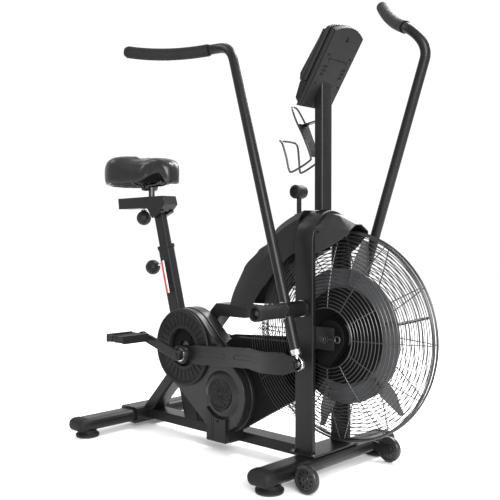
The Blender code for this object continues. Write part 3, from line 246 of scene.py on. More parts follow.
# ---------------------------------------------------------------- shapes, each added to a bmesh
def rounded_rect(width, height, radius, corner=6):
    points = []
    for sx, sy, start in ((1, 1, 0.0), (-1, 1, 0.5), (-1, -1, 1.0), (1, -1, 1.5)):
        for i in range(corner + 1):
            angle = math.pi * (start + 0.5 * i / corner)
            points.append((sx * (width / 2 - radius) + radius * math.cos(angle),
                           sy * (height / 2 - radius) + radius * math.sin(angle)))
    return points


def circle(radius, sides, centre=(0.0, 0.0)):
    turn = 2 * math.pi / sides
    return [(centre[0] + radius * math.cos(turn * i), centre[1] + radius * math.sin(turn * i))
            for i in range(sides)]


def hull_of_circles(circles, sides=96):
    """Convex outline round several circles, each (x, z, radius)."""
    cloud = sorted(p for x, z, r in circles for p in circle(r, sides, (x, z)))

    def half(points):
        chain = []
        for p in points:
            while len(chain) > 1 and turn_of(chain[-2], chain[-1], p) <= 1e-9:
                chain.pop()
            chain.append(p)
        return chain[:-1]

    return half(cloud) + half(cloud[::-1])


def turn_of(a, b, c):
    return (b[0] - a[0]) * (c[1] - a[1]) - (b[1] - a[1]) * (c[0] - a[0])


def skin(bm, rings, closed=False):
    """Join equal rings of points with quads, and cap both ends unless the rings close on themselves."""
    loops = [[bm.verts.new(p) for p in ring] for ring in rings]
    pairs = list(zip(loops, loops[1:]))
    if closed:
        pairs.append((loops[-1], loops[0]))
    for a, b in pairs:
        for i in range(len(a)):
            j = (i + 1) % len(a)
            bm.faces.new((a[i], a[j], b[j], b[i]))
    if not closed:
        bm.faces.new(loops[0][::-1])
        bm.faces.new(loops[-1])
    return bm


def prism(bm, outline, y0, y1):
    """Outline in X and Z, extruded along Y."""
    return skin(bm, [[(x, y, z) for x, z in outline] for y in (y0, y1)])


def box(bm, x0, x1, y0, y1, z0, z1):
    return prism(bm, [(x0, z0), (x1, z0), (x1, z1), (x0, z1)], y0, y1)


def sweep(bm, path, section, side=None, closed=False):
    """Carry a section along a path. Section points are (along side, along normal)."""
    points = [Vector(p) for p in path]
    last = len(points) - 1
    hint = Vector(side) if side else None
    rings = []
    for i, point in enumerate(points):
        before = points[i - 1] if (closed or i > 0) else point
        after = points[(i + 1) % len(points)] if (closed or i < last) else point
        tangent = (after - before).normalized()
        if hint is None:
            hint = tangent.orthogonal()
        across = (hint - tangent * hint.dot(tangent)).normalized()
        if side is None:
            hint = across
        normal = tangent.cross(across)
        size = section(i / last) if callable(section) else section
        rings.append([point + across * u + normal * v for u, v in size])
    return skin(bm, rings, closed)


def turned(radius, angle, along, axis):
    c, s = radius * math.cos(angle), radius * math.sin(angle)
    if axis == "Y":
        return Vector((c, along, s))
    if axis == "Z":
        return Vector((c, s, along))
    return Vector((along, c, s))


def lathe(bm, profile, centre=(0, 0, 0), axis="Y", sides=48, closed=False):
    """Turn (radius, along) points about a line through `centre` parallel to an axis."""
    turn = 2 * math.pi / sides
    centre = Vector(centre)
    rings = []
    for radius, along in profile:
        if radius < 1e-6:
            rings.append([bm.verts.new(centre + turned(0.0, 0.0, along, axis))])
        else:
            rings.append([bm.verts.new(centre + turned(radius, turn * i, along, axis))
                          for i in range(sides)])
    pairs = list(zip(rings, rings[1:]))
    if closed:
        pairs.append((rings[-1], rings[0]))
    for a, b in pairs:
        for i in range(sides):
            j = (i + 1) % sides
            corners = [a[i % len(a)], a[j % len(a)], b[j % len(b)], b[i % len(b)]]
            bm.faces.new(list(dict.fromkeys(corners)))
    return bm


def cylinder(bm, radius, y0, y1, x, z, sides=32):
    return lathe(bm, [(0, y0), (radius, y0), (radius, y1), (0, y1)], (x, 0, z), "Y", sides)


def hexagon(bm, radius, y0, y1, x, z):
    return cylinder(bm, radius, y0, y1, x, z, 6)


def outward(side, profile):
    """A profile drawn for the left, mirrored to the right where side is -1."""
    return [(radius, side * along) for radius, along in profile]


def spun(at, angle):
    """Matrix that turns about Y by an angle and moves to a place in the middle plane."""
    return Matrix.Translation((at.x, 0, at.z)) @ Matrix.Rotation(angle, 4, "Y")


def placed(bm, matrix):
    bmesh.ops.transform(bm, matrix=matrix, verts=bm.verts)
    return bm


def joined(bm, other, matrix=None):
    """Add a copy of another bmesh, moved by a matrix."""
    if matrix is not None:
        placed(other, matrix)
    spare = bpy.data.meshes.new("spare")
    other.to_mesh(spare)
    bm.from_mesh(spare)
    bpy.data.meshes.remove(spare)
    other.free()
    return bm


def smooth_path(points, steps, closed=False):
    """Catmull-Rom curve through the points."""
    pts = [Vector(p) for p in points]
    count = len(pts)
    spans = count if closed else count - 1
    curve = []
    for i in range(spans):
        p1 = pts[i]
        p2 = pts[(i + 1) % count]
        p0 = pts[i - 1] if (closed or i > 0) else p1 * 2 - p2
        p3 = pts[(i + 2) % count] if (closed or i + 2 < count) else p2 * 2 - p1
        for k in range(steps):
            t = k / steps
            curve.append(0.5 * (2 * p1 + (p2 - p0) * t + (2 * p0 - 5 * p1 + 4 * p2 - p3) * t * t
                                + (3 * p1 - p0 - 3 * p2 + p3) * t * t * t))
    if not closed:
        curve.append(pts[-1])
    return curve


def bezier(points, steps):
    curve = []
    for k in range(steps + 1):
        t = k / steps
        level = list(points)
        while len(level) > 1:
            level = [a.lerp(b, t) for a, b in zip(level, level[1:])]
        curve.append(level[0])
    return curve


def smooth_step(t):
    t = min(1.0, max(0.0, t))
    return t * t * (3 - 2 * t)


def interpolate(table, value):
    for (k0, v0), (k1, v1) in zip(table, table[1:]):
        if value <= k1:
            return v0 + (v1 - v0) * smooth_step((value - k0) / (k1 - k0))
    return table[-1][1]


# ---------------------------------------------------------------- pieces
def roll_edges(obj, width, segments, degrees):
    """Round every edge sharper than an angle."""
    modifier = obj.modifiers.new("bevel", "BEVEL")
    modifier.width = width
    modifier.segments = segments
    modifier.limit_method = "ANGLE"
    modifier.angle_limit = math.radians(degrees)
    modifier.harden_normals = True


def piece(name, bm, body, slot, replaces=(), bevel=0.0, steps=2, look=None):
    """Turn a bmesh in the row frame into a named piece that rides on a body."""
    bmesh.ops.recalc_face_normals(bm, faces=bm.faces)
    mesh = bpy.data.meshes.new(name)
    bm.to_mesh(mesh)
    bm.free()
    mesh.shade_smooth()
    mesh.set_sharp_from_angle(angle=SHARP)
    mesh.materials.append(look or MATERIALS[slot])
    obj = bpy.data.objects.new(name, mesh)
    bpy.context.scene.collection.objects.link(obj)
    if bevel:
        roll_edges(obj, bevel, steps, 32.0)
    if replaces:
        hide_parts(*replaces)
    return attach(obj, body)


def settle(obj):
    """Apply every modifier of a piece to its mesh."""
    bpy.context.view_layer.update()
    graph = bpy.context.evaluated_depsgraph_get()
    mesh = bpy.data.meshes.new_from_object(obj.evaluated_get(graph))
    old = obj.data
    obj.modifiers.clear()
    obj.data = mesh
    bpy.data.meshes.remove(old)
    return obj


def carve(obj, bm):
    """Cut a bmesh's solids out of a piece for good."""
    bmesh.ops.recalc_face_normals(bm, faces=bm.faces)
    mesh = bpy.data.meshes.new("cutter")
    bm.to_mesh(mesh)
    bm.free()
    cutter = bpy.data.objects.new("cutter", mesh)
    bpy.context.scene.collection.objects.link(cutter)
    modifier = obj.modifiers.new("carve", "BOOLEAN")
    modifier.operation = "DIFFERENCE"
    modifier.solver = "EXACT"
    modifier.object = cutter
    if len(obj.modifiers) > 1:
        bpy.context.view_layer.objects.active = obj
        with bpy.context.temp_override(object=obj):
            bpy.ops.object.modifier_move_to_index(modifier="carve", index=0)
    bpy.context.view_layer.update()
    bevels = [m for m in obj.modifiers if m.type == "BEVEL"]
    for m in bevels:
        m.show_viewport = False
    graph = bpy.context.evaluated_depsgraph_get()
    result = bpy.data.meshes.new_from_object(obj.evaluated_get(graph))
    obj.modifiers.remove(obj.modifiers["carve"])
    old = obj.data
    obj.data = result
    bpy.data.meshes.remove(old)
    for m in bevels:
        m.show_viewport = True
    bpy.data.objects.remove(cutter)
    bpy.data.meshes.remove(mesh)
    obj.data.set_sharp_from_angle(angle=SHARP)
    return obj


# ---------------------------------------------------------------- fan and guard
def guard_depth(r):
    t = min(1.0, max(0.0, (r - GUARD_HUB_R) / (GUARD_R - GUARD_HUB_R)))
    return GUARD_RIM_Y + (GUARD_HUB_Y - GUARD_RIM_Y) * (1 - t ** 1.7)


def case_arm_outlines(out):
    knee = (FRONT_X - 0.05, 0.3, 0.0715 + out)
    return (hull_of_circles([(JACK.x, JACK.z, JACK_CASE_R + out), (FRONT_X - 0.3, 0.3, 0.066 + out),
                             knee], 48), hull_of_circles([knee, (FAN.x, FAN.z, 0.05 + out)], 48))


def case_reach(outlines, x, z):
    """Distance from a point to the nearest case outline, negative inside."""
    return min(max(turn_of(a, b, (x, z)) * -1 / math.hypot(b[0] - a[0], b[1] - a[1])
                   for a, b in zip(line, line[1:] + line[:1])) for line in outlines)


def guard(label):
    """Wire cage: close rings on radial spokes, pressed outwards where they pass over the chain case."""
    side = SIDES[label]
    bm = bmesh.new()
    outlines = case_arm_outlines(0.002) if side < 0 else ()

    def at(r, angle, inward=0.0):
        x, z = FAN.x + r * math.cos(angle), FAN.z + r * math.sin(angle)
        y = guard_depth(r)
        if outlines and y < CASE_CLEAR_Y:
            share = 1 - smooth_step(case_reach(outlines, x, z) / 0.045)
            y += (CASE_CLEAR_Y - y) * share
        return Vector((x, side * (y - inward), z))

    turn = 2 * math.pi / 96
    for k in range(RINGS):
        r = GUARD_HUB_R + (GUARD_R - 0.006 - GUARD_HUB_R) * k / (RINGS - 1)
        sweep(bm, [at(r, turn * i) for i in range(96)], circle(RING_WIRE_R if k else HUB_WIRE_R, 6),
              closed=True)
    for k in range(SPOKES):
        angle = 2 * math.pi * k / SPOKES
        radii = [GUARD_HUB_R + (GUARD_RIM_R - GUARD_HUB_R) * i / 24 for i in range(25)]
        sweep(bm, [at(r, angle, 0.0024) for r in radii], circle(SPOKE_WIRE_R, 6))
    for y, radius in ((0.0105, 0.0024), (0.004, 0.0014)):
        ring = [(x, side * y, z) for x, z in circle(GUARD_RIM_R, 96, (FAN.x, FAN.z))]
        sweep(bm, ring, circle(radius, 6), closed=True)
    piece("guard_cage_" + label, bm, "frame", "wire", ["guard_" + label])


def fan():
    """Pressed disc with a folded annulus, a hub and six paddles."""
    bm = bmesh.new()
    disc = [(0.0104, -0.024), (0.024, -0.024), (0.027, -0.02), (0.034, -0.004), (0.06, -0.003),
            (0.064, -0.006), (0.07, -0.006), (0.074, -0.003), (0.136, -0.003), (0.14, -0.008),
            (0.145, -0.012), (0.15, -0.0118), (0.186, -0.006), (0.19, -0.004), (0.19, 0.0), (0.186, 0.0),
            (0.15, -0.006), (0.145, -0.005), (0.141, 0.002), (0.136, 0.003), (0.074, 0.003),
            (0.034, 0.003), (0.028, 0.026), (0.0104, 0.03)]
    lathe(bm, disc, FAN, "Y", 96, closed=True)
    for k in range(VANES):
        angle = VANE_START + 2 * math.pi * k / VANES
        vane = bmesh.new()
        rings = []
        for i in range(15):
            x = VANE_INNER_R + VANE_LENGTH * i / 14
            taper = 1.0 if x < 0.2 else 0.36 + 0.64 * smooth_step((0.276 - x) / 0.076)
            low, high = -0.028 * taper, 0.046 * taper
            rings.append([(x, low, -0.0011), (x, high - 0.004, -0.0011), (x, high, -0.006),
                          (x, high, -0.0045), (x, high - 0.003, 0.0011), (x, low, 0.0011)])
        skin(vane, rings)
        box(vane, VANE_INNER_R, 0.186, -0.006, 0.004, -0.003, 0.003)
        joined(bm, vane, Matrix.Translation(FAN) @ Matrix.Rotation(-angle, 4, "Y"))
    piece("fan_disc", bm, "fan", "fan_paint", ["fan_wheel"], bevel=0.0008)
    dish = bmesh.new()
    lathe(dish, [(0.0345, -0.0042), (0.06, -0.0034), (0.064, -0.0064), (0.07, -0.0064), (0.074, -0.0034),
                 (0.1355, -0.0034), (0.1355, -0.0031), (0.0345, -0.0031)], FAN, "Y", 96, closed=True)
    piece("fan_dish", dish, "fan", "fan_paint", look=BLACK_PLASTIC_AND_SHADE)
    grooves = bmesh.new()
    for k in range(5):
        r = 0.154 + 0.0065 * k
        y = -0.0112 + (r - VANE_INNER_R) * 0.148
        lathe(grooves, [(r, y), (r + 0.0012, y - 0.0009), (r + 0.0024, y)], FAN, "Y", 96, closed=True)
    piece("fan_grooves", grooves, "fan", "fan_paint")
    rivets = bmesh.new()
    for k in range(VANES):
        for r in (0.158, 0.176):
            angle = VANE_START + 2 * math.pi * k / VANES + math.radians(2.2)
            x, z = FAN.x + r * math.cos(angle), FAN.z + r * math.sin(angle)
            lathe(rivets, [(0, -0.0125), (0.0028, -0.0118), (0.0034, -0.0095), (0.0034, -0.006),
                           (0, -0.006)], (x, 0, z), "Y", 16)
    piece("fan_rivets", rivets, "fan", "dark_steel")


def fan_axle():
    """Turned axle with thread, nuts and its small toothed sprocket."""
    bm = bmesh.new()
    profile = [(0, -0.098), (0.007, -0.098), (0.0078, -0.0972), (0.0078, -0.047), (0.01, -0.044),
               (0.01, 0.05), (0.0078, 0.056), (0.0078, 0.0972), (0.007, 0.098), (0, 0.098)]
    lathe(bm, profile, FAN, "Y", 40)
    for side in (-1, 1):
        hexagon(bm, 0.0125, side * 0.0862, side * 0.093, FAN.x, FAN.z)
        cylinder(bm, 0.0138, side * 0.0848, side * 0.086, FAN.x, FAN.z, 40)
    piece("fan_axle_turned", bm, "fan", "dark_steel", ["fan_axle"], bevel=0.0006)
    teeth = sprocket(FAN, 12, 0.0247, -0.052, -0.0445, 0.0095)
    piece("fan_sprocket", teeth, "fan", "dark_steel", bevel=0.0005)


def sprocket(at, teeth, pitch_r, y0, y1, bore):
    """Toothed disc, with the tooth tips a little outside the pitch circle."""
    outline = []
    for k in range(teeth * 6):
        angle = 2 * math.pi * k / (teeth * 6)
        lift = (0.0022, 0.0012, -0.0016, -0.0026, -0.0016, 0.0012)[k % 6]
        outline.append((at.x + (pitch_r + lift) * math.cos(angle),
                        at.z + (pitch_r + lift) * math.sin(angle)))
    inner = circle(bore, teeth * 6, (at.x, at.z))
    bm = bmesh.new()
    edges = ((outline, y0), (outline, y1), (inner, y1), (inner, y0))
    rings = [[(x, y, z) for x, z in line] for line, y in edges]
    return skin(bm, rings, closed=True)


def chain(name, replaced, a, b, y0, y1, pitch=0.0127):
    """Roller chain: pairs of waisted plates round a belt line, with a roller at each pin."""
    line = hull_of_circles([a, b], 120)
    points = [Vector((x, 0, z)) for x, z in line]
    total = sum((q - p).length for p, q in zip(points, points[1:] + points[:1]))
    count = 2 * round(total / pitch / 2)
    step = total / count
    pins, walked, target = [], 0.0, 0.0
    for p, q in zip(points, points[1:] + points[:1]):
        span = (q - p).length
        while target < walked + span and len(pins) < count:
            pins.append(p.lerp(q, (target - walked) / span))
            target += step
        walked += span
    bm = bmesh.new()
    mid = (y0 + y1) / 2
    for k, pin in enumerate(pins):
        after = pins[(k + 1) % len(pins)]
        reach = 0.003 if k % 2 else 0.002
        cylinder(bm, 0.0024, mid - 0.0022, mid + 0.0022, pin.x, pin.z, 10)
        for side in (-1, 1):
            plate = hull_of_circles([(pin.x, pin.z, 0.0026), (after.x, after.z, 0.0026)], 8)
            prism(bm, plate, mid + side * reach, mid + side * (reach + 0.0006))
    piece(name, bm, "frame", "dark_steel", [replaced])


def axle_plates():
    """Tensioner plates on the fork, each with its bolt, eye bolt and nut."""
    bm = bmesh.new()
    bolts = bmesh.new()
    for side in (-1, 1):
        y0, y1 = sorted((side * 0.0785, side * 0.0845))
        outline = [(FAN.x + u, FAN.z + v) for u, v in rounded_rect(0.064, 0.062, 0.005, 4)]
        prism(bm, outline, y0, y1)
        lo, hi = sorted((side * 0.078, side * 0.089))
        box(bm, LEG_X1 - 0.004, LEG_X1 + 0.004, lo, hi, FAN.z - 0.034, FAN.z + 0.034)
        eye = Vector((FAN.x + 0.042, side * 0.0815, FAN.z))
        ring = [eye + Vector((0.0085 * math.cos(a), 0, 0.0085 * math.sin(a)))
                for a in (2 * math.pi * i / 28 for i in range(28))]
        sweep(bolts, ring, circle(0.0024, 10), side=(0, 1, 0), closed=True)
        sweep(bolts, [(FAN.x + 0.01, side * 0.0868, FAN.z), (FAN.x + 0.034, side * 0.0868, FAN.z)],
              circle(0.0028, 14))
    piece("axle_plates", bm, "frame", "frame_paint", bevel=0.001)
    piece("axle_tensioners", bolts, "frame", "dark_steel")


def rear_shroud():
    """Two-lobed cover with chamfered sides, and a collar on top that guides the plunger."""
    wall = 0.003
    half_y = 0.075
    edge_y = 0.048
    bm = bmesh.new()
    rings = []
    for k in range(61):
        degrees = 104 + 68 * k / 60
        outer = interpolate(SHROUD_OUTER, degrees)
        shoulder = interpolate(SHROUD_SHOULDER, degrees)
        inner = interpolate(SHROUD_INNER, degrees)
        half = [(inner, half_y), (shoulder, half_y), (outer, edge_y)]
        within = [(outer - wall, edge_y - wall / 2), (shoulder - wall / 2, half_y - wall),
                  (inner, half_y - wall)]
        loop = [(r, -y) for r, y in half] + [(r, y) for r, y in reversed(half)]
        loop += [(r, y) for r, y in reversed(within)] + [(r, -y) for r, y in within]
        a = math.radians(degrees)
        rings.append([(FAN.x + r * math.cos(a), y, FAN.z + r * math.sin(a)) for r, y in loop])
    skin(bm, rings)
    shroud = piece("rear_shroud_cover", bm, "frame", "textured_plastic", ["rear_shroud"], bevel=0.0022,
                   steps=3)
    trim = bmesh.new()
    box(trim, LEG_X0 - 0.0004, 1.0, -0.2, 0.2, 0.0, 1.0)
    carve(shroud, trim)
    trim = bmesh.new()
    box(trim, -1.0, FRONT_X - 0.2, -0.2, 0.2, 0.0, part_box("upper_beam")[1].z + 0.0004)
    carve(shroud, trim)
    lock_x = middle("fan_lock_plunger").x
    bore = lathe(bmesh.new(), [(0, 0.6), (0.0078, 0.6), (0.0078, 0.9), (0, 0.9)], (lock_x, 0, 0), "Z", 32)
    carve(shroud, bore)
    collar = lathe(bmesh.new(), [(0.0076, 0.7335), (0.0135, 0.7335), (0.0135, 0.7405), (0.0115, 0.743),
                                 (0.0076, 0.743)], (lock_x, 0, 0), "Z", 40, closed=True)
    piece("plunger_collar", collar, "frame", "textured_plastic", bevel=0.0006)


def top_cover():
    """Faceted spout over the top of the guard in the lighter satin plastic, whose lighter colour is a painted
    highlight, with a small near-black disc each side as the painted shade of a vent hole.
    """
    x0 = LEG_X1 + 0.0004
    wall = 0.003

    def ring(x, half, low, shoulder, ridge):
        outer = [(-half, low), (-half, shoulder), (-half * 0.3, ridge), (half * 0.3, ridge),
                 (half, shoulder), (half, low)]
        inner = [(half - wall, low), (half - wall, shoulder - wall), (half * 0.28, ridge - wall),
                 (-half * 0.28, ridge - wall), (-half + wall, shoulder - wall), (-half + wall, low)]
        return [(x, y, z) for y, z in outer + inner]

    bm = bmesh.new()
    rings = [ring(x0, 0.0845, 0.628, 0.7, 0.7415), ring(x0 + 0.018, 0.08, 0.636, 0.7, 0.74),
             ring(x0 + 0.04, 0.069, 0.648, 0.703, 0.734), ring(x0 + 0.09, 0.046, 0.684, 0.6925, 0.7105)]
    skin(bm, rings)
    piece("top_cover_spout", bm, "frame", "textured_plastic", ["top_cover"], bevel=0.0018, steps=3,
          look=SATIN_PLASTIC_WITH_PAINTED_HIGHLIGHT)
    dots = bmesh.new()
    for side in (-1, 1):
        cylinder(dots, 0.0034, side * 0.0795, side * 0.0842, x0 + 0.01, 0.69, 24)
    piece("cover_vent_shades", dots, "frame", "textured_plastic", look=PAINTED_RECESS_SHADE)


def plunger():
    """Cross handle with open, rimmed ends on a plain stem."""
    at = middle("fan_lock_plunger")
    x, z = at.x, 0.808
    bm = bmesh.new()
    barrel = [(0, -0.015), (0.012, -0.015), (0.013, -0.0225), (0.0175, -0.0225), (0.0198, -0.0205),
              (0.0205, -0.017), (0.0196, 0.0), (0.0205, 0.012), (0.019, 0.0185), (0.014, 0.0215),
              (0.01, 0.0225), (0, 0.0225)]
    lathe(bm, barrel, (x, 0, z), "Y", 56)
    lathe(bm, [(0, 0.7), (0.0066, 0.7), (0.0072, 0.7006), (0.0072, 0.788), (0.009, 0.7925), (0, 0.7925)],
          (x, 0, 0), "Z", 32)
    piece("plunger_handle", bm, "fan_lock", "textured_plastic", ["fan_lock_plunger"])


# ---------------------------------------------------------------- chain cases
def chain_cases():
    """Outer tray and inner shell with round shoulders, open at the crank, and a slot in the band."""
    # Tray and drum take the lighter satin plastic: real gloss, with a painted highlight on the band.
    outer = bmesh.new()
    prism(outer, hull_of_circles([(COVER.x, COVER.z, 0.1255), (JACK.x, JACK.z, 0.112)], 120), -0.1, -0.0745)
    tray = piece("chain_case_tray", outer, "frame", "textured_plastic", ["chain_case_outer"], bevel=0.0035,
                 steps=4, look=SATIN_PLASTIC_WITH_PAINTED_HIGHLIGHT)
    carve(tray, cylinder(bmesh.new(), 0.061, -0.11, -0.07, COVER.x, COVER.z, 64))
    shell = bmesh.new()
    prism(shell, hull_of_circles([(COVER.x, COVER.z, 0.128), (JACK.x, JACK.z, JACK_CASE_R)], 120),
          -0.0753, -0.0335)
    drum = piece("chain_case_drum", shell, "frame", "textured_plastic", ["fan_chain_case"], bevel=0.004,
                 steps=4, look=SATIN_PLASTIC_WITH_PAINTED_HIGHLIGHT)
    bore = cylinder(bmesh.new(), 0.052, -0.09, -0.02, COVER.x, COVER.z, 64)
    slot = bmesh.new()
    box(slot, 0.12, 0.14, -0.065, -0.051, -0.0028, 0.0028)
    joined(bore, slot, spun(COVER, -math.radians(20.0)))
    carve(drum, bore)
    arms = bmesh.new()
    for outline in case_arm_outlines(-0.0006):
        prism(arms, outline, -0.062, -0.0337)
    piece("chain_case_arm", arms, "frame", "textured_plastic", bevel=0.003, steps=3, look=BLACK_PLASTIC_AND_SHADE)


def crank_cover():
    """Dished ring with radial ribs between a rolled rim and the centre hole."""
    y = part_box("crank_cover")[1].y
    hole = 0.061
    bm = bmesh.new()
    profile = [(hole, y), (0.118, y), (0.1228, y - 0.003), (0.1235, y - 0.007), (0.1215, y - 0.0102),
               (0.118, y - 0.011), (0.1145, y - 0.0098), (0.112, y - 0.006), (0.1085, y - 0.0034),
               (0.104, y - 0.0026), (hole + 0.012, y - 0.0026), (hole + 0.009, y - 0.005),
               (hole + 0.003, y - 0.0062), (hole, y - 0.005)]
    lathe(bm, profile, (COVER.x, 0, COVER.z), "Y", 120, closed=True)
    piece("crank_cover_ring", bm, "frame", "textured_plastic", ["crank_cover"])
    ribs = bmesh.new()
    count = 30
    stations = ((hole + 0.0085, 0.0016, 0.0052), (0.09, 0.0019, 0.005), (0.1095, 0.0022, 0.0046))
    for k in range(count):
        rib = bmesh.new()
        skin(rib, [[(r, y - 0.002, -w), (r, y - d, -w * 0.7), (r, y - d, w * 0.7), (r, y - 0.002, w)]
                   for r, w, d in stations])
        joined(ribs, rib, spun(COVER, 2 * math.pi * k / count))
    piece("crank_cover_ribs", ribs, "frame", "textured_plastic", bevel=0.0004)
    # The centre recess and its bolt are near-black: painted shade in the recess.
    inner = bmesh.new()
    lathe(inner, [(0.0215, -0.0905), (0.06, -0.0905), (0.06, -0.0925), (0.05, -0.0945), (0.0215, -0.0945)],
          (COVER.x, 0, COVER.z), "Y", 64, closed=True)
    bolt_at = (COVER.x + 0.03, COVER.z + 0.034)
    cylinder(inner, 0.0048, -0.0945, -0.0985, *bolt_at, 24)
    piece("crank_recess", inner, "frame", "textured_plastic", look=BLACK_PLASTIC_AND_SHADE)


def vent_cover():
    """Round cap with a rolled rim and curved fins."""
    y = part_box("vent_cover")[1].y
    bm = bmesh.new()
    profile = [(0, y), (0.0495, y), (0.051, y - 0.0015), (0.051, y - 0.006), (0.049, y - 0.0095),
               (0.0465, y - 0.01), (0.044, y - 0.0094), (0.0425, y - 0.0066), (0.04, y - 0.0056),
               (0, y - 0.0056)]
    lathe(bm, profile, (VENT.x, 0, VENT.z), "Y", 96)
    for k in range(11):
        base = 2 * math.pi * k / 11
        points = []
        for i in range(9):
            r = 0.008 + 0.0315 * i / 8
            a = base + 0.75 * (i / 8) ** 1.4
            points.append(Vector((VENT.x + r * math.cos(a), y - 0.0066, VENT.z + r * math.sin(a))))
        rings = []
        for i, point in enumerate(points):
            along = (points[min(i + 1, 8)] - points[max(i - 1, 0)]).normalized()
            across = along.cross(Vector((0, 1, 0)))
            width = 0.0012 + 0.0026 * i / 8
            section = [(-width, 0.0011), (width, 0.0011), (width * 0.6, -0.0011), (-width * 0.6, -0.0011)]
            rings.append([point + across * u + Vector((0, v, 0)) for u, v in section])
        skin(bm, rings)
    piece("vent_cover_cap", bm, "frame", "textured_plastic", ["vent_cover"])
    # The drum takes the lighter satin plastic: real gloss, with a painted highlight.
    horn = bmesh.new()
    steps = [(0, -0.0997), (VENT_DRUM_R, -0.0997), (0.0728, -0.1006), (0.0705, -0.1022),
             (0.0665, -0.1046), (0.062, -0.1068), (0.058, -0.1084), (0.0545, -0.1094), (0.052, -0.1094),
             (0.0515, -0.105), (0, -0.105)]
    lathe(horn, steps, (VENT_DRUM_X, 0, VENT_DRUM_Z), "Y", 96)
    piece("vent_drum", horn, "frame", "textured_plastic", look=SATIN_PLASTIC_WITH_PAINTED_HIGHLIGHT)


def pedestal():
    """Post face with two upright ribs and a screw hole, over the plain bracket."""
    low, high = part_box("pedestal_bracket")
    bm = bmesh.new()
    outline = [(low.x + 0.012, low.z + 0.001), (high.x - 0.002, low.z + 0.001), (high.x - 0.002, 0.128),
               (high.x - 0.014, 0.145), (low.x + 0.012, 0.145)]
    prism(bm, outline, low.y - 0.0215, low.y + 0.001)
    post = piece("pedestal_post", bm, "frame", "frame_paint", bevel=0.0035, steps=3)
    clear = bmesh.new()
    prism(clear, hull_of_circles([(VENT_DRUM_X, VENT_DRUM_Z, VENT_DRUM_R + 0.0015)], 64), -0.2, -0.05)
    carve(post, clear)
    cuts = bmesh.new()
    for x in (0.035, 0.043):
        box(cuts, low.x + x, low.x + x + 0.0016, low.y - 0.03, low.y - 0.02, 0.0, 0.2)
    cylinder(cuts, 0.004, low.y - 0.03, low.y - 0.012, low.x + 0.062, 0.107, 24)
    carve(post, cuts)


# ---------------------------------------------------------------- crank, links, pedals
def pin_place(label):
    return joint_place("link_" + label + "_turn")


def pedal_place(label):
    return joint_place("pedal_" + label + "_turn")


def handle_frame(side):
    """Matrix from a handle's own axes (rearwards, outwards, up the tube) to the row frame."""
    lean = LEANS[side]
    c, s = math.cos(lean), math.sin(lean)
    rows = Matrix(((-c, 0, -s), (0, side, 0), (-s, 0, c))).transposed().to_4x4()
    return Matrix.Translation((PIVOT.x, side * HANDLE_Y, PIVOT.z)) @ rows


def rod_place(side):
    return handle_frame(side) @ Vector((0, 0, -ROCKER))


def link_matrix(label):
    side = SIDES[label]
    pin = pin_place(label)
    end = rod_place(side)
    slope = math.atan2(end.z - pin.z, end.x - pin.x)
    length = math.hypot(end.x - pin.x, end.z - pin.z)
    return spun(pin, -slope), length


def link(label):
    """Flat bar with two pressed slots, joggled outwards near the front, on a bearing hub."""
    side = SIDES[label]
    pin = pin_place(label)
    turn, length = link_matrix(label)
    bend, front, taper = length - 0.216, length - 0.118, length - 0.036

    def out_at(along):
        share = min(1.0, max(0.0, (along - bend) / (front - bend)))
        return LINK_REAR_Y + (LINK_FRONT_Y - LINK_REAR_Y) * share

    def plate(bm, stations):
        rings = []
        for along, half, thick in stations:
            yi, yo = side * (out_at(along) - LINK_T / 2), side * (out_at(along) - LINK_T / 2 + thick)
            rings.append([(along, yi, -half), (along, yo, -half), (along, yo, half), (along, yi, half)])
        skin(bm, rings)

    bm = bmesh.new()
    plate(bm, [(0.018, 0.024, 0.0062), (0.05, LINK_HALF_H - 0.0008, 0.0062)])
    plate(bm, [(0.0485, LINK_HALF_H, LINK_T), (bend, LINK_HALF_H, LINK_T), (front, LINK_HALF_H, LINK_T),
               (taper, LINK_HALF_H, LINK_T), (length + 0.006, 0.0178, LINK_T)])
    placed(bm, turn)
    piece("link_bar_" + label, bm, "link_" + label, "frame_paint", ["link_" + label], bevel=0.0022, steps=3)

    lines = bmesh.new()
    for x0, x1 in ((0.076, 0.178), (0.218, 0.362)):
        loop = []
        for k in range(16):
            a = math.pi * (k + 0.5) / 16 - math.pi / 2
            loop.append((x1 - 0.0065 + 0.0065 * math.cos(a), 0.0065 * math.sin(a)))
        loop += [(bend, 0.0065)] if x0 < bend < x1 else []
        loop += [(x0 + x1 - along, -up) for along, up in loop[:16]]
        loop += [(bend, -0.0065)] if x0 < bend < x1 else []
        path = [(along, side * (out_at(along) + LINK_T / 2), up) for along, up in loop]
        sweep(lines, path, circle(0.0011, 8), side=(0, 1, 0), closed=True)
    placed(lines, turn)
    # The slot outlines take the lighter satin plastic: a painted highlight along the pressed edges.
    piece("link_slots_" + label, lines, "link_" + label, "frame_paint", look=SATIN_PLASTIC_WITH_PAINTED_HIGHLIGHT)

    hub = bmesh.new()
    y = LINK_REAR_Y
    profile = [(0.0096, y - 0.0065), (0.028, y - 0.0065), (0.029, y - 0.005), (0.029, y + 0.0175),
               (0.0275, y + 0.02), (0.024, y + 0.0205), (0.0225, y + 0.0225), (0.0096, y + 0.0225)]
    lathe(hub, outward(side, profile), (pin.x, 0, pin.z), "Y", 64, closed=True)
    piece("link_hub_" + label, hub, "link_" + label, "frame_paint")
    seal = bmesh.new()
    rim = [(0.015, y + 0.0224), (0.0205, y + 0.0224), (0.0205, y + 0.024), (0.015, y + 0.024)]
    lathe(seal, outward(side, rim), (pin.x, 0, pin.z), "Y", 48, closed=True)
    piece("link_seal_" + label, seal, "link_" + label, "bright_steel", bevel=0.0004)


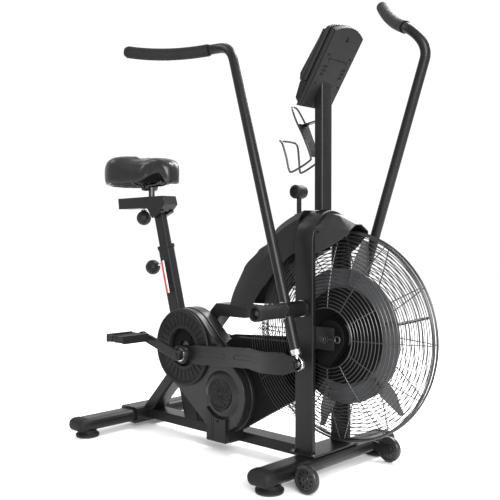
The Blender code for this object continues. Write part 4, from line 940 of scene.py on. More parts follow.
def crank_set(label):
    """Inner crank, outer arm with the pedal boss, and their bolts."""
    side = SIDES[label]
    pin, pedal = pin_place(label), pedal_place(label)
    inner = bmesh.new()
    y0, y1 = sorted((side * 0.1135, side * 0.1235))
    prism(inner, hull_of_circles([(CRANK.x, CRANK.z, 0.02), (pin.x, pin.z, 0.017)], 64), y0, y1)
    cylinder(inner, 0.009, side * 0.122, side * 0.1585, pin.x, pin.z, 40)
    piece("inner_crank_" + label, inner, "crank", "dark_steel", ["crank_arm_" + label], bevel=0.0012)

    arm = bmesh.new()
    along = Vector((pedal.x - pin.x, 0, pedal.z - pin.z))
    rings = []
    for k in range(13):
        t = k / 12
        centre = Vector((pin.x, 0, pin.z)) + along * t
        rings.append((centre, 0.0163 - 0.003 * t))
    outline = hull_of_circles([(c.x, c.z, r) for c, r in rings], 64)
    prism(arm, outline, *sorted((side * (PEDAL_ARM_Y - 0.006), side * (PEDAL_ARM_Y + 0.006))))
    cylinder(arm, 0.015, side * (PEDAL_ARM_Y - 0.0061), side * (PEDAL_ARM_Y + 0.01), pedal.x, pedal.z, 48)
    cylinder(arm, 0.0172, side * (PEDAL_ARM_Y - 0.013), side * (PEDAL_ARM_Y + 0.0072), pin.x, pin.z, 48)
    hexagon(arm, 0.009, side * (PEDAL_ARM_Y + 0.006), side * (PEDAL_ARM_Y + 0.01), pin.x, pin.z)
    piece("outer_arm_" + label, arm, "crank", "frame_paint", ["pedal_arm_" + label], bevel=0.0018, steps=3)
    steel = bmesh.new()
    cylinder(steel, 0.006, side * (PEDAL_ARM_Y + 0.004), side * 0.266, pedal.x, pedal.z, 32)
    piece("pedal_spindle_" + label, steel, "crank", "bright_steel", bevel=0.0004)


def pedal(label):
    """Platform pedal: end plates, spindle barrel and two ribbed treads."""
    side = SIDES[label]
    at = pedal_place(label)
    y_in, y_out = 0.178, 0.281
    bm = bmesh.new()

    def block(dx0, dx1, a, b, half_z):
        lo, hi = sorted((side * a, side * b))
        outline = [(at.x + dx0, at.z - half_z), (at.x + dx1, at.z - half_z), (at.x + dx1, at.z + half_z),
                   (at.x + dx0, at.z + half_z)]
        prism(bm, outline, lo, hi)

    barrel = [(0.0064, y_in), (0.012, y_in), (0.0125, y_in + 0.004), (0.0125, y_out - 0.006),
              (0.01, y_out - 0.0005), (0.0064, y_out - 0.0005)]
    lathe(bm, outward(side, barrel), (at.x, 0, at.z), "Y", 40, closed=True)
    cap = [(0, 0.2685), (0.0068, 0.2685), (0.0068, 0.28), (0, 0.28)]
    lathe(bm, outward(side, cap), (at.x, 0, at.z), "Y", 24)
    for a, b in ((y_in, y_in + 0.011), (y_out - 0.011, y_out)):
        block(-0.044, -0.0118, a, b, 0.0105)
        block(0.0118, 0.044, a, b, 0.0105)
    for s in (-1, 1):
        x0, x1 = sorted((s * 0.0365, s * 0.046))
        block(x0, x1, y_in + 0.002, y_out - 0.002, 0.0128)
        for k in range(9):
            y = y_in + 0.0125 + k * 0.009
            x0, x1 = sorted((s * 0.034, s * 0.0462))
            block(x0, x1, y, y + 0.0045, 0.013)
    piece("pedal_body_" + label, bm, "pedal_" + label, "textured_plastic", ["pedal_" + label], bevel=0.0012)


def drivetrain():
    """Sprockets with teeth, shafts and roller chains inside the cases."""
    ring = sprocket(CRANK, 40, 0.082, -0.088, -0.082, 0.01)
    web = piece("chainring_toothed", ring, "crank", "dark_steel", ["chainring"], bevel=0.0006)
    windows = bmesh.new()
    for k in range(5):
        a = 2 * math.pi * k / 5
        spot = (CRANK.x + 0.045 * math.cos(a), CRANK.z + 0.045 * math.sin(a))
        cylinder(windows, 0.015, -0.2, 0.0, *spot, 32)
    carve(web, windows)
    axle = bmesh.new()
    lathe(axle, [(0, -0.1125), (0.0088, -0.1125), (0.0095, -0.1118), (0.0095, -0.034), (0.0102, -0.033),
                 (0.0102, -0.018), (0.0095, -0.017), (0.0095, 0.1118), (0.0088, 0.1125), (0, 0.1125)],
          CRANK, "Y", 48)
    piece("crank_spindle", axle, "crank", "bright_steel", ["crank_axle"])
    shaft = bmesh.new()
    lathe(shaft, [(0, -0.0955), (0.0078, -0.0955), (0.0085, -0.0948), (0.0085, -0.088), (0.011, -0.087),
                  (0.011, -0.032), (0.0085, -0.031), (0.0085, -0.0265), (0.0078, -0.026), (0, -0.026)],
          JACK, "Y", 40)
    joined(shaft, sprocket(JACK, 14, 0.0287, -0.088, -0.082, 0.0108))
    joined(shaft, sprocket(JACK, 36, 0.074, -0.052, -0.0445, 0.0108))
    piece("jackshaft_toothed", shaft, "jackshaft", "dark_steel", ["jackshaft"], bevel=0.0004)
    chain("crank_roller_chain", "crank_chain", (CRANK.x, CRANK.z, 0.0845), (JACK.x, JACK.z, 0.0312),
          -0.0885, -0.0815)
    chain("fan_roller_chain", "fan_chain", (JACK.x, JACK.z, 0.0765), (FAN.x, FAN.z, 0.0272), -0.0525,
          -0.044)


# ---------------------------------------------------------------- handles
def handle_paths():
    """Tube path up to the grip, and the grip's own path, in the handle's axes."""
    bend_from = Vector((0.0, 0.0, 0.735))
    start = Vector((0.0915, -0.0015, 0.812))
    bend_to = Vector((0.203, 0.071, 0.825))
    tip = Vector((0.297, 0.142, 0.8765))
    backwards = (start - bend_to).normalized()
    bend = bezier([bend_from, bend_from + Vector((0, 0, 0.052)), start + backwards * 0.044, start], 20)
    grip = bezier([start, bend_to, tip], 28)
    return bend, grip


def handle(label):
    side = SIDES[label]
    body = "handle_" + label
    bend, grip = handle_paths()
    place = handle_frame(side)
    local = [Vector((0, 0, -0.108)), Vector((0, 0, 0.3))] + bend + grip[1:-2]
    tube = bmesh.new()
    sweep(tube, [place @ p for p in local], circle(HANDLE_R - 0.0003, 32), (0, 1, 0))
    barrel = [(0.0128, 0.101), (0.021, 0.101), (0.0218, 0.102), (0.0218, 0.1795), (0.021, 0.1805),
              (0.0128, 0.1805)]
    lathe(tube, outward(side, barrel), (PIVOT.x, 0, PIVOT.z), "Y", 56, closed=True)
    piece("handle_tube_" + label, tube, body, "frame_paint", ["handle_" + label])

    sleeve = bmesh.new()

    def section(t):
        ease = 1.0 - 0.3 * smooth_step((t - 0.965) / 0.035) ** 2
        lip = 0.0006 if t < 0.02 else 0.0
        return circle((GRIP_R - 0.0006 + lip) * ease, 36)

    sweep(sleeve, [place @ p for p in grip], section, (0, 1, 0))
    piece("grip_sleeve_" + label, sleeve, body, "rubber", ["grip_" + label])
    # The collar is near-black: painted shade at the seam between tube and grip.
    collar = bmesh.new()
    ring = [place @ p for p in (bend[-2].lerp(bend[-1], 0.2), bend[-1])]
    sweep(collar, ring, circle(HANDLE_R + 0.0016, 36), (0, 1, 0))
    piece("grip_collar_" + label, collar, body, "rubber", look=PAINTED_RECESS_SHADE)

    washers = bmesh.new()
    for a, b in ((0.1, 0.1009), (0.1806, 0.1818)):
        flat = [(0.0128, a), (0.0232, a), (0.0232, b), (0.0128, b)]
        lathe(washers, outward(side, flat), (PIVOT.x, 0, PIVOT.z), "Y", 48, closed=True)
    piece("pivot_washers_" + label, washers, body, "bright_steel")


def rod_end(label):
    """Ball joint in a forged eye on a threaded shank, with the bolt into the link."""
    side = SIDES[label]
    place = handle_frame(side)
    centre = rod_place(side)
    bm = bmesh.new()
    eye = [(0.0118, -0.005), (0.015, -0.0062), (0.018, -0.006), (0.0195, -0.004), (0.0195, 0.004),
           (0.018, 0.006), (0.015, 0.0062), (0.0118, 0.005)]
    lathe(bm, eye, centre, "Y", 48, closed=True)
    ball = [(0.0055, -0.0095), (0.0085, -0.0078), (0.0108, -0.0045), (0.0114, 0.0), (0.0108, 0.0045),
            (0.0085, 0.0078), (0.0055, 0.0095)]
    ball = lathe(bmesh.new(), ball, centre, "Y", 40, closed=True)
    piece("rod_ball_" + label, ball, "handle_" + label, "dark_steel")
    shank = bmesh.new()
    profile = [(0, -0.1345), (0.009, -0.1345), (0.0085, -0.125), (0.0125, -0.1245), (0.0155, -0.1235),
               (0.0155, -0.1095), (0.0145, -0.1085), (0, -0.1085)]
    lathe(shank, profile, (0, 0, 0), "Z", 40)
    joined(bm, shank, place)
    piece("rod_eye_" + label, bm, "handle_" + label, "bright_steel", ["rod_end_" + label])
    bolt = bmesh.new()
    cylinder(bolt, 0.0048, side * 0.1545, side * 0.179, centre.x, centre.z, 24)
    hexagon(bolt, 0.0095, side * 0.152, side * 0.156, centre.x, centre.z)
    piece("rod_bolt_" + label, bolt, "handle_" + label, "dark_steel", bevel=0.0005)
    head = bmesh.new()
    outer = side * (LINK_FRONT_Y + LINK_T / 2)
    hexagon(head, 0.0092, outer, outer + side * 0.0046, centre.x, centre.z)
    cylinder(head, 0.0118, outer, outer + side * 0.0012, centre.x, centre.z, 32)
    piece("link_bolt_" + label, head, "link_" + label, "frame_paint", bevel=0.0006)


def foot_peg(label):
    """Pivot shaft on the leg with a flanged rubber sleeve, open at its end on a recessed bolt."""
    side = SIDES[label]
    leg = LEG_OUTER_Y + 0.0004
    bm = bmesh.new()
    profile = [(0, leg), (0.0195, leg), (0.02, leg + 0.0006), (0.02, leg + 0.0055), (0.0195, leg + 0.006),
               (0.0122, leg + 0.006), (0.0122, 0.1825), (0.0205, 0.1825), (0.0215, 0.1835),
               (0.0215, 0.1915), (0.02, 0.1925), (0.02, 0.265), (0.0215, 0.2665), (0.0222, 0.27),
               (0.0222, 0.2915), (0.0212, 0.2938), (0.0185, 0.294), (0.0165, 0.2925), (0.016, 0.277),
               (0, 0.277)]
    lathe(bm, outward(side, profile), (PIVOT.x, 0, PIVOT.z), "Y", 56)
    piece("peg_sleeve_" + label, bm, "frame", "rubber", ["foot_peg_" + label])
    bolt = bmesh.new()
    hexagon(bolt, 0.0078, side * 0.2768, side * 0.284, PIVOT.x, PIVOT.z)
    cylinder(bolt, 0.011, side * 0.2768, side * 0.2785, PIVOT.x, PIVOT.z, 32)
    piece("peg_bolt_" + label, bolt, "frame", "dark_steel", bevel=0.0006)
    # A near-black dot on the sleeve: the painted shade of a small hole.
    dot = bmesh.new()
    lathe(dot, [(0, -0.0205), (0.003, -0.0205), (0.003, -0.018), (0, -0.018)], (0, 0, 0), "X", 20)
    placed(dot, Matrix.Translation((0, side * 0.252, 0)) @ spun(PIVOT, math.radians(8.0)))
    piece("peg_hole_" + label, dot, "frame", "rubber", look=PAINTED_RECESS_SHADE)


# ---------------------------------------------------------------- frame pieces
def fork():
    """Bent flat tube over the fan with soft edges, on a welded flange."""
    mid_y = LEG_OUTER_Y - LEG_T / 2
    mid_x = (LEG_X0 + LEG_X1) / 2
    path = [(mid_x, -mid_y, FORK_FOOT_Z), (mid_x, -mid_y, 0.36), (mid_x, -mid_y, FORK_CENTRE_Z - 0.002)]
    for i in range(1, 48):
        angle = math.pi * i / 48
        path.append((mid_x, -mid_y * math.cos(angle), FORK_CENTRE_Z + mid_y * math.sin(angle)))
    path += [(mid_x, mid_y, FORK_CENTRE_Z - 0.002), (mid_x, mid_y, 0.36), (mid_x, mid_y, FORK_FOOT_Z)]
    bm = bmesh.new()
    sweep(bm, path, rounded_rect(LEG_X1 - LEG_X0, LEG_T, 0.004, 5), side=(1, 0, 0))
    piece("fork_band", bm, "frame", "frame_paint", ["fork"])
    flange = bmesh.new()
    box(flange, LEG_X0 - 0.008, FRONT_X + 0.036, -0.108, 0.108, 0.0664, 0.071)
    piece("fork_flange", flange, "frame", "frame_paint", bevel=0.0014)
    bolts = bmesh.new()
    for side in (-1, 1):
        for x in (LEG_X0 + 0.002, FRONT_X + 0.028):
            lathe(bolts, [(0, 0.0705), (0.007, 0.0705), (0.007, 0.0725), (0.0055, 0.0752), (0, 0.076)],
                  (x, side * 0.1, 0), "Z", 28)
    piece("flange_bolts", bolts, "frame", "dark_steel")
    bead = bmesh.new()
    for side in (-1, 1):
        loop = [(mid_x + u, side * mid_y + v, 0.0712) for u, v in rounded_rect(0.0655, 0.0172, 0.005, 5)]
        sweep(bead, loop, circle(0.0016, 8), side=(0, 0, 1), closed=True)
    piece("fork_welds", bead, "frame", "frame_paint")


def soften(node, width):
    """The frame member itself with its sharp edges rolled over."""
    obj = bpy.data.objects.new(node + "_rolled", frame["nodes"][node].data.copy())
    bpy.context.scene.collection.objects.link(obj)
    obj.data.shade_smooth()
    obj.data.set_sharp_from_angle(angle=SHARP)
    roll_edges(obj, width, 3, 40.0)
    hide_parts(node)
    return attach(obj, BODY_OF[node])


def mast():
    """Rectangular tube with rolled corners, cut off along the console's back."""
    low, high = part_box("mast")
    centre = (low + high) / 2
    section = rounded_rect(high.x - low.x, high.y - low.y, 0.0065, 8)
    bm = skin(bmesh.new(), [[(centre.x + u, v, z) for u, v in section] for z in (low.z, high.z)])
    tube = piece("mast_tube", bm, "frame", "frame_paint", ["mast"])
    a, b = CONSOLE_BASE, CONSOLE_BASE + CONSOLE_UP * 0.25
    far = CONSOLE_OUT * 0.3
    outline = [(p.x, p.z) for p in (a - CONSOLE_UP * 0.2, b, b + far, a - CONSOLE_UP * 0.2 + far)]
    carve(tube, prism(bmesh.new(), outline, -0.1, 0.1))


def stripe():
    """Plain two-tone stripe on each side of the seat tube, where a maker would put a mark."""
    low, high, half = 0.046, 0.16, 0.0035
    for name, material, across in (("pale", STRIPE_PALE, 0.003), ("red", STRIPE_RED, -0.0075)):
        bm = bmesh.new()
        for side in (-1, 1):
            y0, y1 = sorted((side * 0.0268, side * 0.0272))
            outline = [tube_point(-along, across + d) for along, d in
                       ((low, -half), (high, -half), (high, half), (low, half))]
            prism(bm, outline, y0, y1)
        piece("tube_stripe_" + name, bm, "frame", "frame_paint", look=material)


def tube_point(along, across):
    """Point (x, z) in the seat tube's own directions, measured from its top."""
    c, s = math.cos(SEAT_LEAN), math.sin(SEAT_LEAN)
    return (TUBE_TOP.x - along * s + across * c, TUBE_TOP.z + along * c + across * s)


def foot(end, label):
    """Domed rubber end cap, with a two-tier foot and its grey disc."""
    side = SIDES[label]
    x = FRONT_X if end == "front" else REAR_X
    start = 0.2684
    bm = bmesh.new()
    rings = []
    for along, shrink in ((0.0, 0.0), (0.014, 0.0), (0.022, 0.0012), (0.029, 0.0045), (0.0335, 0.0095),
                          (0.0355, 0.015), (0.036, 0.0185)):
        section = rounded_rect(0.083 - 2 * shrink, 0.045 - 2 * shrink * 0.92, 0.0212 - shrink * 0.9, 8)
        rings.append([(x + u, side * (start + along), 0.045 + v) for u, v in section])
    skin(bm, rings)
    piece(end + "_cap_" + label, bm, "frame", "rubber", [end + "_foot_" + label])
    pad = bmesh.new()
    lathe(pad, [(0, 0.005), (0.0388, 0.005), (0.039, 0.011), (0.0375, 0.0125), (0.0335, 0.015),
                (0.031, 0.019), (0.03, 0.0236), (0, 0.0236)], (x, side * 0.25, 0), "Z", 64)
    piece(end + "_pad_" + label, pad, "frame", "rubber")
    disc = bmesh.new()
    lathe(disc, [(0, 0.0), (0.0345, 0.0), (0.037, 0.0012), (0.0378, 0.0048), (0, 0.0048)],
          (x, side * 0.25, 0), "Z", 64)
    piece(end + "_disc_" + label, disc, "frame", "rubber", look=FOOT_GREY)


def transport_wheel(label):
    """Glossy wheel with a tyre, a dished web pierced by a ring of holes, and a capped hub."""
    side = SIDES[label]
    at = joint_place("wheel_" + label + "_roll")
    w = 0.0105
    bm = bmesh.new()
    profile = [(0.0064, -w + 0.001), (0.012, -w + 0.0005), (0.013, -w + 0.0015), (0.0135, -w + 0.004),
               (0.027, -w + 0.004), (0.0285, -w + 0.0005), (0.03, -w), (0.0345, -w + 0.0008),
               (0.0372, -w + 0.0035), (WHEEL_R, -w + 0.0065), (WHEEL_R, w - 0.0065), (0.0372, w - 0.0035),
               (0.0345, w - 0.0008), (0.03, w), (0.0285, w - 0.0005), (0.027, w - 0.004),
               (0.0135, w - 0.004), (0.0064, w - 0.003)]
    lathe(bm, profile, at, "Y", 72, closed=True)
    wheel = piece("wheel_" + label + "_moulding", bm, "wheel_" + label, "tread",
                  ["transport_wheel_" + label])
    holes = bmesh.new()
    for k in range(10):
        a = 2 * math.pi * k / 10
        cylinder(holes, 0.003, at.y - 0.02, at.y + 0.02, at.x + 0.0205 * math.cos(a),
                 at.z + 0.0205 * math.sin(a), 16)
    carve(wheel, holes)
    cap = bmesh.new()
    dome = [(0, 0.2053), (0.005, 0.2051), (0.0082, 0.2033), (0.0084, 0.2015), (0, 0.2015)]
    lathe(cap, outward(side, dome), (at.x, 0, at.z), "Y", 32)
    piece("wheel_cap_" + label, cap, "frame", "dark_steel")


# ---------------------------------------------------------------- seat
def saddle_half_width(t):
    end = math.sqrt(max(0.0, 1 - abs(2 * t - 1) ** 5))
    return end * (SADDLE_REAR_HALF + (SADDLE_NOSE_HALF - SADDLE_REAR_HALF) * smooth_step((t - 0.22) / 0.62))


def saddle_drop(t):
    """How far the pad's surface lies under its highest line: a dip before the nose."""
    dip = 0.016 * smooth_step((t - 0.16) / 0.36) - 0.005 * smooth_step((t - 0.64) / 0.22)
    return 0.005 + dip + 0.004 * (1 - smooth_step(t / 0.12))


def saddle_lift(t):
    """How far the skirt's edge is drawn up: level at the rear, arched before the nose."""
    belly = 0.008 * smooth_step((t - 0.04) / 0.4) * (1 - smooth_step((t - 0.86) / 0.12))
    return belly + 0.031 * smooth_step((t - 0.58) / 0.3) * (1 - smooth_step((t - 0.925) / 0.055))


def saddle_ring(scale, height, count=80):
    """One outline of the pad; height 0 is the skirt's edge and 1 the top surface."""
    centre = (SADDLE_REAR + SADDLE_NOSE) / 2
    length = SADDLE_NOSE - SADDLE_REAR
    ring = []
    for i in range(count):
        turn = 2 * math.pi * i / count
        t = 0.5 + 0.5 * math.cos(turn)
        half = saddle_half_width(t)
        low = SADDLE_LOW + 0.001 + saddle_lift(t)
        top = SADDLE_TOP - saddle_drop(t)
        y = math.copysign(half, math.sin(turn)) if abs(math.sin(turn)) > 1e-9 else 0.0
        ring.append((centre + (t - 0.5) * length * scale, y * scale, low + (top - low) * height))
    return ring


def saddle():
    """Blown-up cushion with a soft crown, a skirt arched before the nose, and a hollow underneath."""
    shrink = 0.965
    rings = []
    for scale, height in ((0.88, 0.12), (0.9, 0.03), (0.945, 0.0), (0.975, 0.03), (0.992, 0.14),
                          (1.0, 0.3), (1.0, 0.5), (0.985, 0.66), (0.95, 0.79), (0.885, 0.89),
                          (0.79, 0.95), (0.66, 0.985), (0.48, 1.0), (0.24, 1.0)):
        rings.append(saddle_ring(scale * shrink, height))
    bm = bmesh.new()
    loops = [[bm.verts.new(p) for p in ring] for ring in rings]
    for a, b in zip(loops, loops[1:]):
        for i in range(len(a)):
            j = (i + 1) % len(a)
            bm.faces.new((a[i], a[j], b[j], b[i]))
    bm.faces.new(loops[-1])
    hollow = [bm.verts.new((x, y, z + 0.016)) for x, y, z in saddle_ring(0.84 * shrink, 0.14)]
    for i in range(len(hollow)):
        j = (i + 1) % len(hollow)
        bm.faces.new((hollow[i], hollow[j], loops[0][j], loops[0][i]))
    bm.faces.new(hollow[::-1])
    pad = piece("saddle_cushion", bm, "saddle", "vinyl", ["saddle"])
    remesh = pad.modifiers.new("remesh", "REMESH")
    remesh.mode = "VOXEL"
    remesh.voxel_size = PAD_VOXEL
    settle(pad)
    inflate(pad, PAD_RISE)
    smooth = pad.modifiers.new("smooth", "SMOOTH")
    smooth.factor = 0.5
    smooth.iterations = 6
    finer = pad.modifiers.new("finer", "SUBSURF")
    finer.levels = 1
    finer.render_levels = 1
    settle(pad)
    pad.data.materials.clear()
    pad.data.materials.append(MATERIALS["vinyl"])
    pad.data.shade_smooth()
    piping(pad)
    saddle_base()


def inflate(obj, most):
    """Blow the pad up as cloth with pressure, and cap how far any point moves."""
    before = [v.co.copy() for v in obj.data.vertices]
    cloth = obj.modifiers.new("cloth", "CLOTH")
    cloth.settings.use_pressure = True
    cloth.settings.uniform_pressure_force = PAD_PRESSURE
    cloth.settings.tension_stiffness = 15
    cloth.settings.compression_stiffness = 15
    cloth.settings.bending_stiffness = 2.0
    cloth.settings.quality = 5
    cloth.settings.effector_weights.gravity = 0.0
    scene = bpy.context.scene
    for number in range(1, PAD_FRAMES + 1):
        scene.frame_set(number)
    graph = bpy.context.evaluated_depsgraph_get()
    blown = bpy.data.meshes.new_from_object(obj.evaluated_get(graph))
    obj.modifiers.clear()
    for start, vertex in zip(before, blown.vertices):
        move = vertex.co - start
        if move.length > most:
            vertex.co = start + move * (most / move.length)
    old = obj.data
    obj.data = blown
    bpy.data.meshes.remove(old)
    scene.frame_set(1)


def piping(pad):
    """Welt sewn along the skirt's edge, laid on the pad as it was blown up."""
    bm = bmesh.new()
    cover = BVHTree.FromPolygons([v.co for v in pad.data.vertices], [f.vertices for f in pad.data.polygons])
    path = [cover.find_nearest(Vector(p))[0] for p in saddle_ring(0.958, 0.045, 160)]
    for _ in range(3):
        path = [(path[i - 1] + path[i] * 2 + path[(i + 1) % len(path)]) / 4 for i in range(len(path))]
    sweep(bm, path, circle(0.0016, 10), side=(0, 0, 1), closed=True)
    piece("saddle_piping", bm, "saddle", "vinyl")


def saddle_base():
    """Moulded pan in the hollow, near black as painted shade, with the clamp's head, its bolt and the two rails.
    """
    bm = bmesh.new()
    rings = [[(x, y, z + up) for x, y, z in saddle_ring(0.86, 0)] for up in (0.01, 0.016)]
    skin(bm, rings)
    piece("saddle_pan", bm, "saddle", "textured_plastic", look=PAINTED_RECESS_SHADE)
    x = CLAMP_X
    clamp = bmesh.new()
    box(clamp, x - 0.022, x + 0.022, -0.0118, 0.0118, 0.7978, 0.8132)
    lathe(clamp, [(0, 0.806), (0.011, 0.806), (0.011, 0.85), (0, 0.85)], (x, 0, 0), "Z", 40)
    for side in (-1, 1):
        y0, y1 = sorted((side * 0.0165, side * 0.0205))
        prism(clamp, hull_of_circles([(x - 0.012, 0.8505, 0.015), (x - 0.012, 0.862, 0.017)], 32), y0, y1)
    cylinder(clamp, 0.014, -0.028, 0.028, x - 0.012, 0.8505, 48)
    hexagon(clamp, 0.008, -0.033, 0.033, x - 0.012, 0.8505)
    piece("saddle_clamp_head", clamp, "saddle", "dark_steel", ["saddle_clamp"], bevel=0.0008)
    rails = bmesh.new()
    for side in (-1, 1):
        path = smooth_path([(x - 0.07, side * 0.03, 0.868), (x - 0.045, side * 0.024, 0.856),
                            (x, side * 0.022, 0.855), (x + 0.045, side * 0.02, 0.857),
                            (x + 0.075, side * 0.016, 0.869)], 6)
        sweep(rails, path, circle(0.0035, 12))
    piece("saddle_rails", rails, "saddle", "dark_steel")


def knob(name, node, body, matrix, reach):
    """Round knob with shallow flutes on a steel pin."""
    radius = 0.0262
    bm = bmesh.new()
    profile = [(0, -radius)]
    for i in range(1, 20):
        a = math.pi * i / 21
        profile.append((radius * math.sin(a), -radius * math.cos(a)))
    profile += [(0.0105, radius * 0.97), (0.0105, radius + 0.003), (0, radius + 0.003)]
    lathe(bm, profile, (0, 0, 0), "X", 64)
    for v in bm.verts:
        r = math.hypot(v.co.y, v.co.z)
        if r > 0.016 and v.co.x < radius * 0.9:
            flute = 0.0009 * max(0.0, math.cos(8 * math.atan2(v.co.z, v.co.y))) ** 3
            v.co.y *= 1 - flute / r
            v.co.z *= 1 - flute / r
    placed(bm, matrix)
    piece(name, bm, body, "textured_plastic", [node])
    pin = lathe(bmesh.new(), [(0, radius), (0.0046, radius), (0.0046, reach), (0, reach)], (0, 0, 0), "X",
                24)
    piece(name + "_pin", placed(pin, matrix), body, "bright_steel")
    # The socket cap takes the lighter satin plastic: real gloss, with a painted highlight.
    socket = lathe(bmesh.new(), [(0, -radius - 0.0003), (0.008, -radius + 0.001), (0.008, -radius + 0.0025),
                                 (0, -radius + 0.003)], (0, 0, 0), "X", 32)
    piece(name + "_cap", placed(socket, matrix), body, "textured_plastic", look=SATIN_PLASTIC_WITH_PAINTED_HIGHLIGHT)


def knobs():
    x, z = tube_point(-0.048, -KNOB_REACH)
    knob("height_knob_ball", "seat_height_knob", "height_knob",
         Matrix.Translation((x, 0, z)) @ Matrix.Rotation(-SEAT_LEAN, 4, "Y"), KNOB_REACH - 0.0236)
    knob("slide_knob_ball", "saddle_slide_knob", "slide_knob",
         Matrix.Translation((FRONT_X - 0.831, 0, 0.7405)) @ Matrix.Rotation(-math.pi / 2, 4, "Y"), 0.0485)


# ---------------------------------------------------------------- console and bottle cage
CONSOLE_BASE = Vector((FRONT_X - 0.046, 0, 1.046))
CONSOLE_UP = Vector((0.126, 0, 0.196)).normalized()
CONSOLE_OUT = Vector((-CONSOLE_UP.z, 0, CONSOLE_UP.x))


def console_point(up, out, y=0.0):
    return CONSOLE_BASE + CONSOLE_UP * up + CONSOLE_OUT * out + Vector((0, y, 0))


def console_layer(name, outline, half, arch, material, bevel, replaces=()):
    """One shell of the console: an outline in (up, out), wide across Y, with an arched top."""
    bm = bmesh.new()
    rings = []
    count = 16
    for k in range(count + 1):
        y = half * (2 * k / count - 1)
        sag = arch * (y / half) ** 2
        ring = []
        for up, out in outline:
            share = smooth_step((up - 0.15) / 0.08)
            ring.append(console_point(up - sag * share, out, y))
        rings.append(ring)
    skin(bm, rings)
    return piece(name, bm, "frame", "textured_plastic", replaces, bevel=bevel, steps=4, look=material)


def console():
    plastic = MATERIALS["textured_plastic"]
    console_layer("console_back", [(0.0, 0.0), (0.244, 0.0), (0.2475, 0.008), (0.2465, 0.02),
                                   (-0.006, 0.02)], 0.065, 0.019, plastic, 0.0026, ["console_housing"])
    # The middle layer is near-black: painted shade in the gap between the back shell and the tray.
    console_layer("console_mid", [(0.006, 0.0202), (0.241, 0.0202), (0.24, 0.0265), (0.012, 0.0265)],
                  0.06, 0.019, BLACK_PLASTIC_AND_SHADE, 0.0016)
    # The tray takes the lighter satin plastic: real gloss, with a painted highlight.
    console_layer("console_tray", [(0.066, 0.0267), (0.2445, 0.0267), (0.2425, 0.0385), (0.064, 0.0385)],
                  0.0645, 0.018, SATIN_PLASTIC_WITH_PAINTED_HIGHLIGHT, 0.0034)
    console_layer("console_foot", [(0.001, 0.0203), (0.0655, 0.0267), (0.064, 0.044), (0.0545, 0.0462),
                                   (0.0097, 0.037)], 0.062, 0.0, plastic, 0.0036)
    console_layer("console_front", [(0.056, 0.0387), (0.236, 0.0387), (0.224, 0.0474), (0.0773, 0.058),
                                    (0.061, 0.05)], 0.063, 0.015, plastic, 0.0036)
    # The ridges take the lighter satin plastic: a painted highlight along the console's edges.
    ridges = bmesh.new()
    for side in (-1, 1):
        for out, low, high in ((0.0105, -0.001, 0.224), (0.0435, 0.064, 0.215)):
            path = [console_point(low, out, side * 0.064), console_point(high, out, side * 0.064)]
            sweep(ridges, path, circle(0.0022, 16))
    piece("console_ridges", ridges, "frame", "textured_plastic", look=SATIN_PLASTIC_WITH_PAINTED_HIGHLIGHT)

    # Grooves, screws and the hook mark are near-black: painted shade in their recesses.
    marks = bmesh.new()

    def plate(up0, up1, y0, y1, depth=0.0006):
        corners = [(up0, y0), (up1, y0), (up1, y1), (up0, y1)]
        skin(marks, [[console_point(u, out, y) for u, y in corners] for out in (-depth, 0.001)])

    for y in (-0.046, -0.037, 0.037, 0.046):
        for up in (0.098, 0.11, 0.122):
            plate(up, up + 0.0075, y - 0.0018, y + 0.0018)
    plate(0.148, 0.15, -0.04, 0.04)
    plate(0.14, 0.148, -0.04, -0.0385)
    plate(0.14, 0.148, 0.0385, 0.04)
    piece("console_grooves", marks, "frame", "textured_plastic", look=PAINTED_RECESS_SHADE)
    screws = bmesh.new()
    for up, y in ((0.16, -0.048), (0.16, 0.048), (0.075, -0.052), (0.075, 0.052)):
        dot = lathe(bmesh.new(), [(0, -0.0012), (0.003, -0.0008), (0.0034, 0.001), (0, 0.001)], (0, 0, 0),
                    "Z", 20)
        out = Matrix((CONSOLE_UP, Vector((0, 1, 0)), CONSOLE_OUT)).transposed().to_4x4()
        joined(screws, dot, Matrix.Translation(console_point(up, 0, y)) @ out)
    hook = [(0.205, -0.006), (0.222, 0.0), (0.205, 0.006)]
    skin(screws, [[console_point(u, out, y) for u, y in hook] for out in (-0.0008, 0.001)])
    piece("console_screws", screws, "frame", "textured_plastic", look=PAINTED_RECESS_SHADE)
    console_face()


def console_face():
    """Read-out window, divided into fields by thin lines."""
    top, low = console_point(0.2233, 0.0484), console_point(0.0773, 0.0592)
    run = (top - low).normalized()
    out = Vector((-run.z, 0, run.x))

    def field(bm, a, b, y0, y1, d0, d1):
        corners = [(a, y0), (b, y0), (b, y1), (a, y1)]
        skin(bm, [[low + run * u + out * d + Vector((0, y, 0)) for u, y in corners] for d in (d0, d1)])

    glass = bmesh.new()
    field(glass, 0.018, 0.128, -0.048, 0.048, -0.0006, 0.0014)
    piece("read_out", glass, "frame", "display", ["console_display"], bevel=0.0008)
    lines = bmesh.new()
    for a in (0.046, 0.074, 0.101):
        field(lines, a, a + 0.001, -0.044, 0.044, 0.0012, 0.0017)
    field(lines, 0.022, 0.124, -0.0005, 0.0005, 0.0012, 0.0017)
    piece("read_out_lines", lines, "frame", "display", look=STRIPE_PALE)


def buttons():
    for label in SIDES:
        node = "console_button_" + label
        at = middle(node)
        normal = Vector((-0.937, 0, 0.349)).normalized()
        turn = Vector((0, 0, 1)).rotation_difference(normal).to_matrix().to_4x4()
        cap = bmesh.new()
        lathe(cap, [(0, -0.0027), (0.0051, -0.0027), (0.0052, 0.001), (0.0048, 0.0019), (0.0036, 0.0025),
                    (0.002, 0.0022), (0, 0.002)], (0, 0, 0), "Z", 40)
        piece("button_cap_" + label, placed(cap, Matrix.Translation(at) @ turn), "button_" + label,
              "button", [node])


